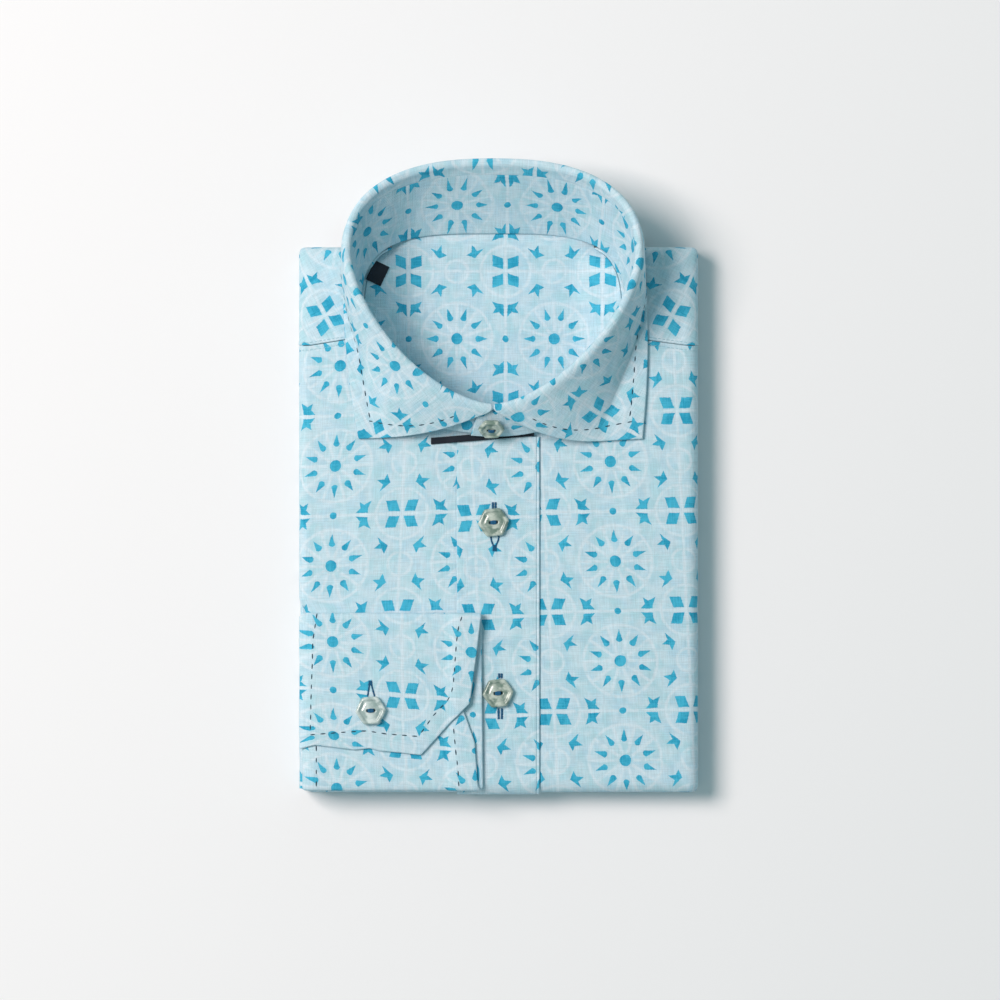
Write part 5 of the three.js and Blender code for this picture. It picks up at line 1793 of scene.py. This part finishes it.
class SHIRT_OT_buttons(bpy.types.Operator):
    """Make the buttons, the thread that holds them and their buttonholes"""

    bl_idname = "shirt.buttons"
    bl_label = "Buttons and buttonholes"

    def execute(self, context):
        shells = {kind: shell_material(name, dyed(kind + "_pale"), dyed(kind + "_dark"))
                  for kind, name in (("shell", "Grey shell"), ("cuff_shell", "Pale shell"))}
        top = Underlay(cloths["placket"].piece, cloths["cuff"].piece)
        for spot in FLAT_BUTTONS:
            base, _ = top.drop(spot.x, spot.y)
            base[2] += FLAT_BUTTON_LIFT
            place = shell_button(spot.name, spot.node, spot.across, base, spot.turn, 0.0, shells[spot.shell])
            button_thread(spot.name + "_thread", place)
        stand = Stand(np.array([-90.0]))
        _, run, rise = stand.at(0.6)[0] - stand.at(0.1)[0]
        slope = math.atan2(rise, run)
        out = np.array([0, -math.sin(slope), math.cos(slope)])
        seat = stand.at(COLLAR_BUTTON_SHARE)[0] + out * (LAP_OUT + INTERLINED / 2 + COLLAR_BUTTON_LIFT)
        seat[0] = COLLAR_BUTTON_X
        place = shell_button("collar_shell_button", "button_collar", COLLAR_BUTTON, seat, 0,
                             slope + COLLAR_BUTTON_LEAN, shells["shell"])
        button_thread("collar_button_thread", place)
        for name, paths, across in (("buttonhole_tacks", BUTTONHOLE_TACKS, 1.3),
                                    ("buttonhole_satin", BUTTONHOLE_LEGS, 0.95)):
            satin = [top.line(path, 0.12, 0.5) for path in paths]
            size = (SATIN_ALONG, across, SATIN_HIGH)
            stitches(name, satin, SATIN_PITCH, size, "royal", 0.12)
        return {"FINISHED"}


class SHIRT_OT_stitching(bpy.types.Operator):
    """Sew the seams and the hand stitches"""

    bl_idname = "shirt.stitching"
    bl_label = "Stitching"

    def execute(self, context):
        looks = context.scene.shirt_looks
        pick = (looks.pick_length / MM, PICK_ACROSS, PICK_HIGH)
        stitches("collar_pick_stitches", leaf_stitch_lines(), looks.pick_pitch / MM, pick, "pick")
        cuff_top = Underlay(cloths["cuff"].piece)
        sewn = [cuff_top.line(path, 0.05) for path in CUFF_STITCH_PATHS]
        stitches("cuff_pick_stitches", sewn, CUFF_PICK_PITCH, CUFF_PICK, "pick")
        stitches("seam_stitches", seam_lines(), SEAM_PITCH, SEAM_STITCH, "pale", wander=0.02)
        return {"FINISHED"}


# The sky's colour and strength, the lamps' colour, and each soft box: name, place, size and power.
SKY_COLOUR = (0.68, 1.0, 1.07, 1.0)
SKY_STRENGTH = 0.34
LAMP_COLOUR = (1.0, 0.865, 0.833)
SOFT_BOXES = (("Key", (-1.5, 0.65, 2.3), 1.2, 77.0), ("Fill", (2.2, -0.3, 2.0), 1.4, 2.0))

FLOOR_REACH, FLOOR_Z, FLOOR_COLOUR = 3000, -0.4, (0.87, 0.87, 0.87, 1.0)
CAMERA_PLACE, CAMERA_LENS, CAMERA_SENSOR = (0.72 * MM, -10.56 * MM, 4.02), 300, 36


class SHIRT_OT_stage(bpy.types.Operator):
    """Set the floor, the light and the camera"""

    bl_idname = "shirt.stage"
    bl_label = "Stage"

    def execute(self, context):
        square = ((-1, -1), (1, -1), (1, 1), (-1, 1))
        corners = [(x * FLOOR_REACH, y * FLOOR_REACH, FLOOR_Z) for x, y in square]
        floor = mesh_object("floor", corners, [(0, 1, 2, 3)])
        material, _, shader = new_material("White floor", 0.9)
        shader.inputs["Base Color"].default_value = FLOOR_COLOUR
        floor.data.materials.append(material)
        world = bpy.data.worlds.new("Studio")
        world.use_nodes = True
        sky = world.node_tree.nodes["Background"]
        sky.inputs["Color"].default_value = SKY_COLOUR
        sky.inputs["Strength"].default_value = SKY_STRENGTH
        context.scene.world = world
        for name, place, size, power in SOFT_BOXES:
            add_area(name, place, size, power)
        camera_data = bpy.data.cameras.new("Camera")
        camera_data.lens = CAMERA_LENS
        camera_data.sensor_width = CAMERA_SENSOR
        camera = bpy.data.objects.new("Camera", camera_data)
        camera.location = CAMERA_PLACE
        context.scene.collection.objects.link(camera)
        context.scene.camera = camera
        context.scene.view_settings.view_transform = "Standard"
        return {"FINISHED"}


def add_area(name, place, size, power):
    data = bpy.data.lights.new(name, "AREA")
    data.size = size
    data.energy = power
    data.color = LAMP_COLOUR
    light = bpy.data.objects.new(name, data)
    light.location = place
    light.rotation_euler = (-Vector(place)).to_track_quat("-Z", "Y").to_euler()
    bpy.context.scene.collection.objects.link(light)


STEPS = (
    SHIRT_OT_layers, SHIRT_OT_fronts, SHIRT_OT_neck, SHIRT_OT_collar, SHIRT_OT_cuff, SHIRT_OT_buttons,
    SHIRT_OT_stitching, SHIRT_OT_stage,
)


class SHIRT_PT_panel(bpy.types.Panel):
    """The shirt's pieces and colours"""

    bl_idname = "SHIRT_PT_panel"
    bl_label = "Folded shirt"
    bl_space_type = "VIEW_3D"
    bl_region_type = "UI"
    bl_category = "Shirt"

    def draw(self, context):
        for step in STEPS:
            self.layout.operator(step.bl_idname)
        for name in ShirtLooks.__annotations__:
            self.layout.prop(context.scene.shirt_looks, name)


CLASSES = (ShirtLooks, *STEPS, SHIRT_PT_panel)


def register():
    for each in CLASSES:
        bpy.utils.register_class(each)
    bpy.types.Scene.shirt_looks = PointerProperty(type=ShirtLooks)


def unregister():
    del bpy.types.Scene.shirt_looks
    for each in reversed(CLASSES):
        bpy.utils.unregister_class(each)


def main():
    register()
    bpy.ops.shirt.layers()
    bpy.ops.shirt.fronts()
    bpy.ops.shirt.neck()
    bpy.ops.shirt.collar()
    bpy.ops.shirt.cuff()
    bpy.ops.shirt.buttons()
    bpy.ops.shirt.stitching()
    bpy.ops.shirt.stage()


if __name__ == "__main__":
    main()
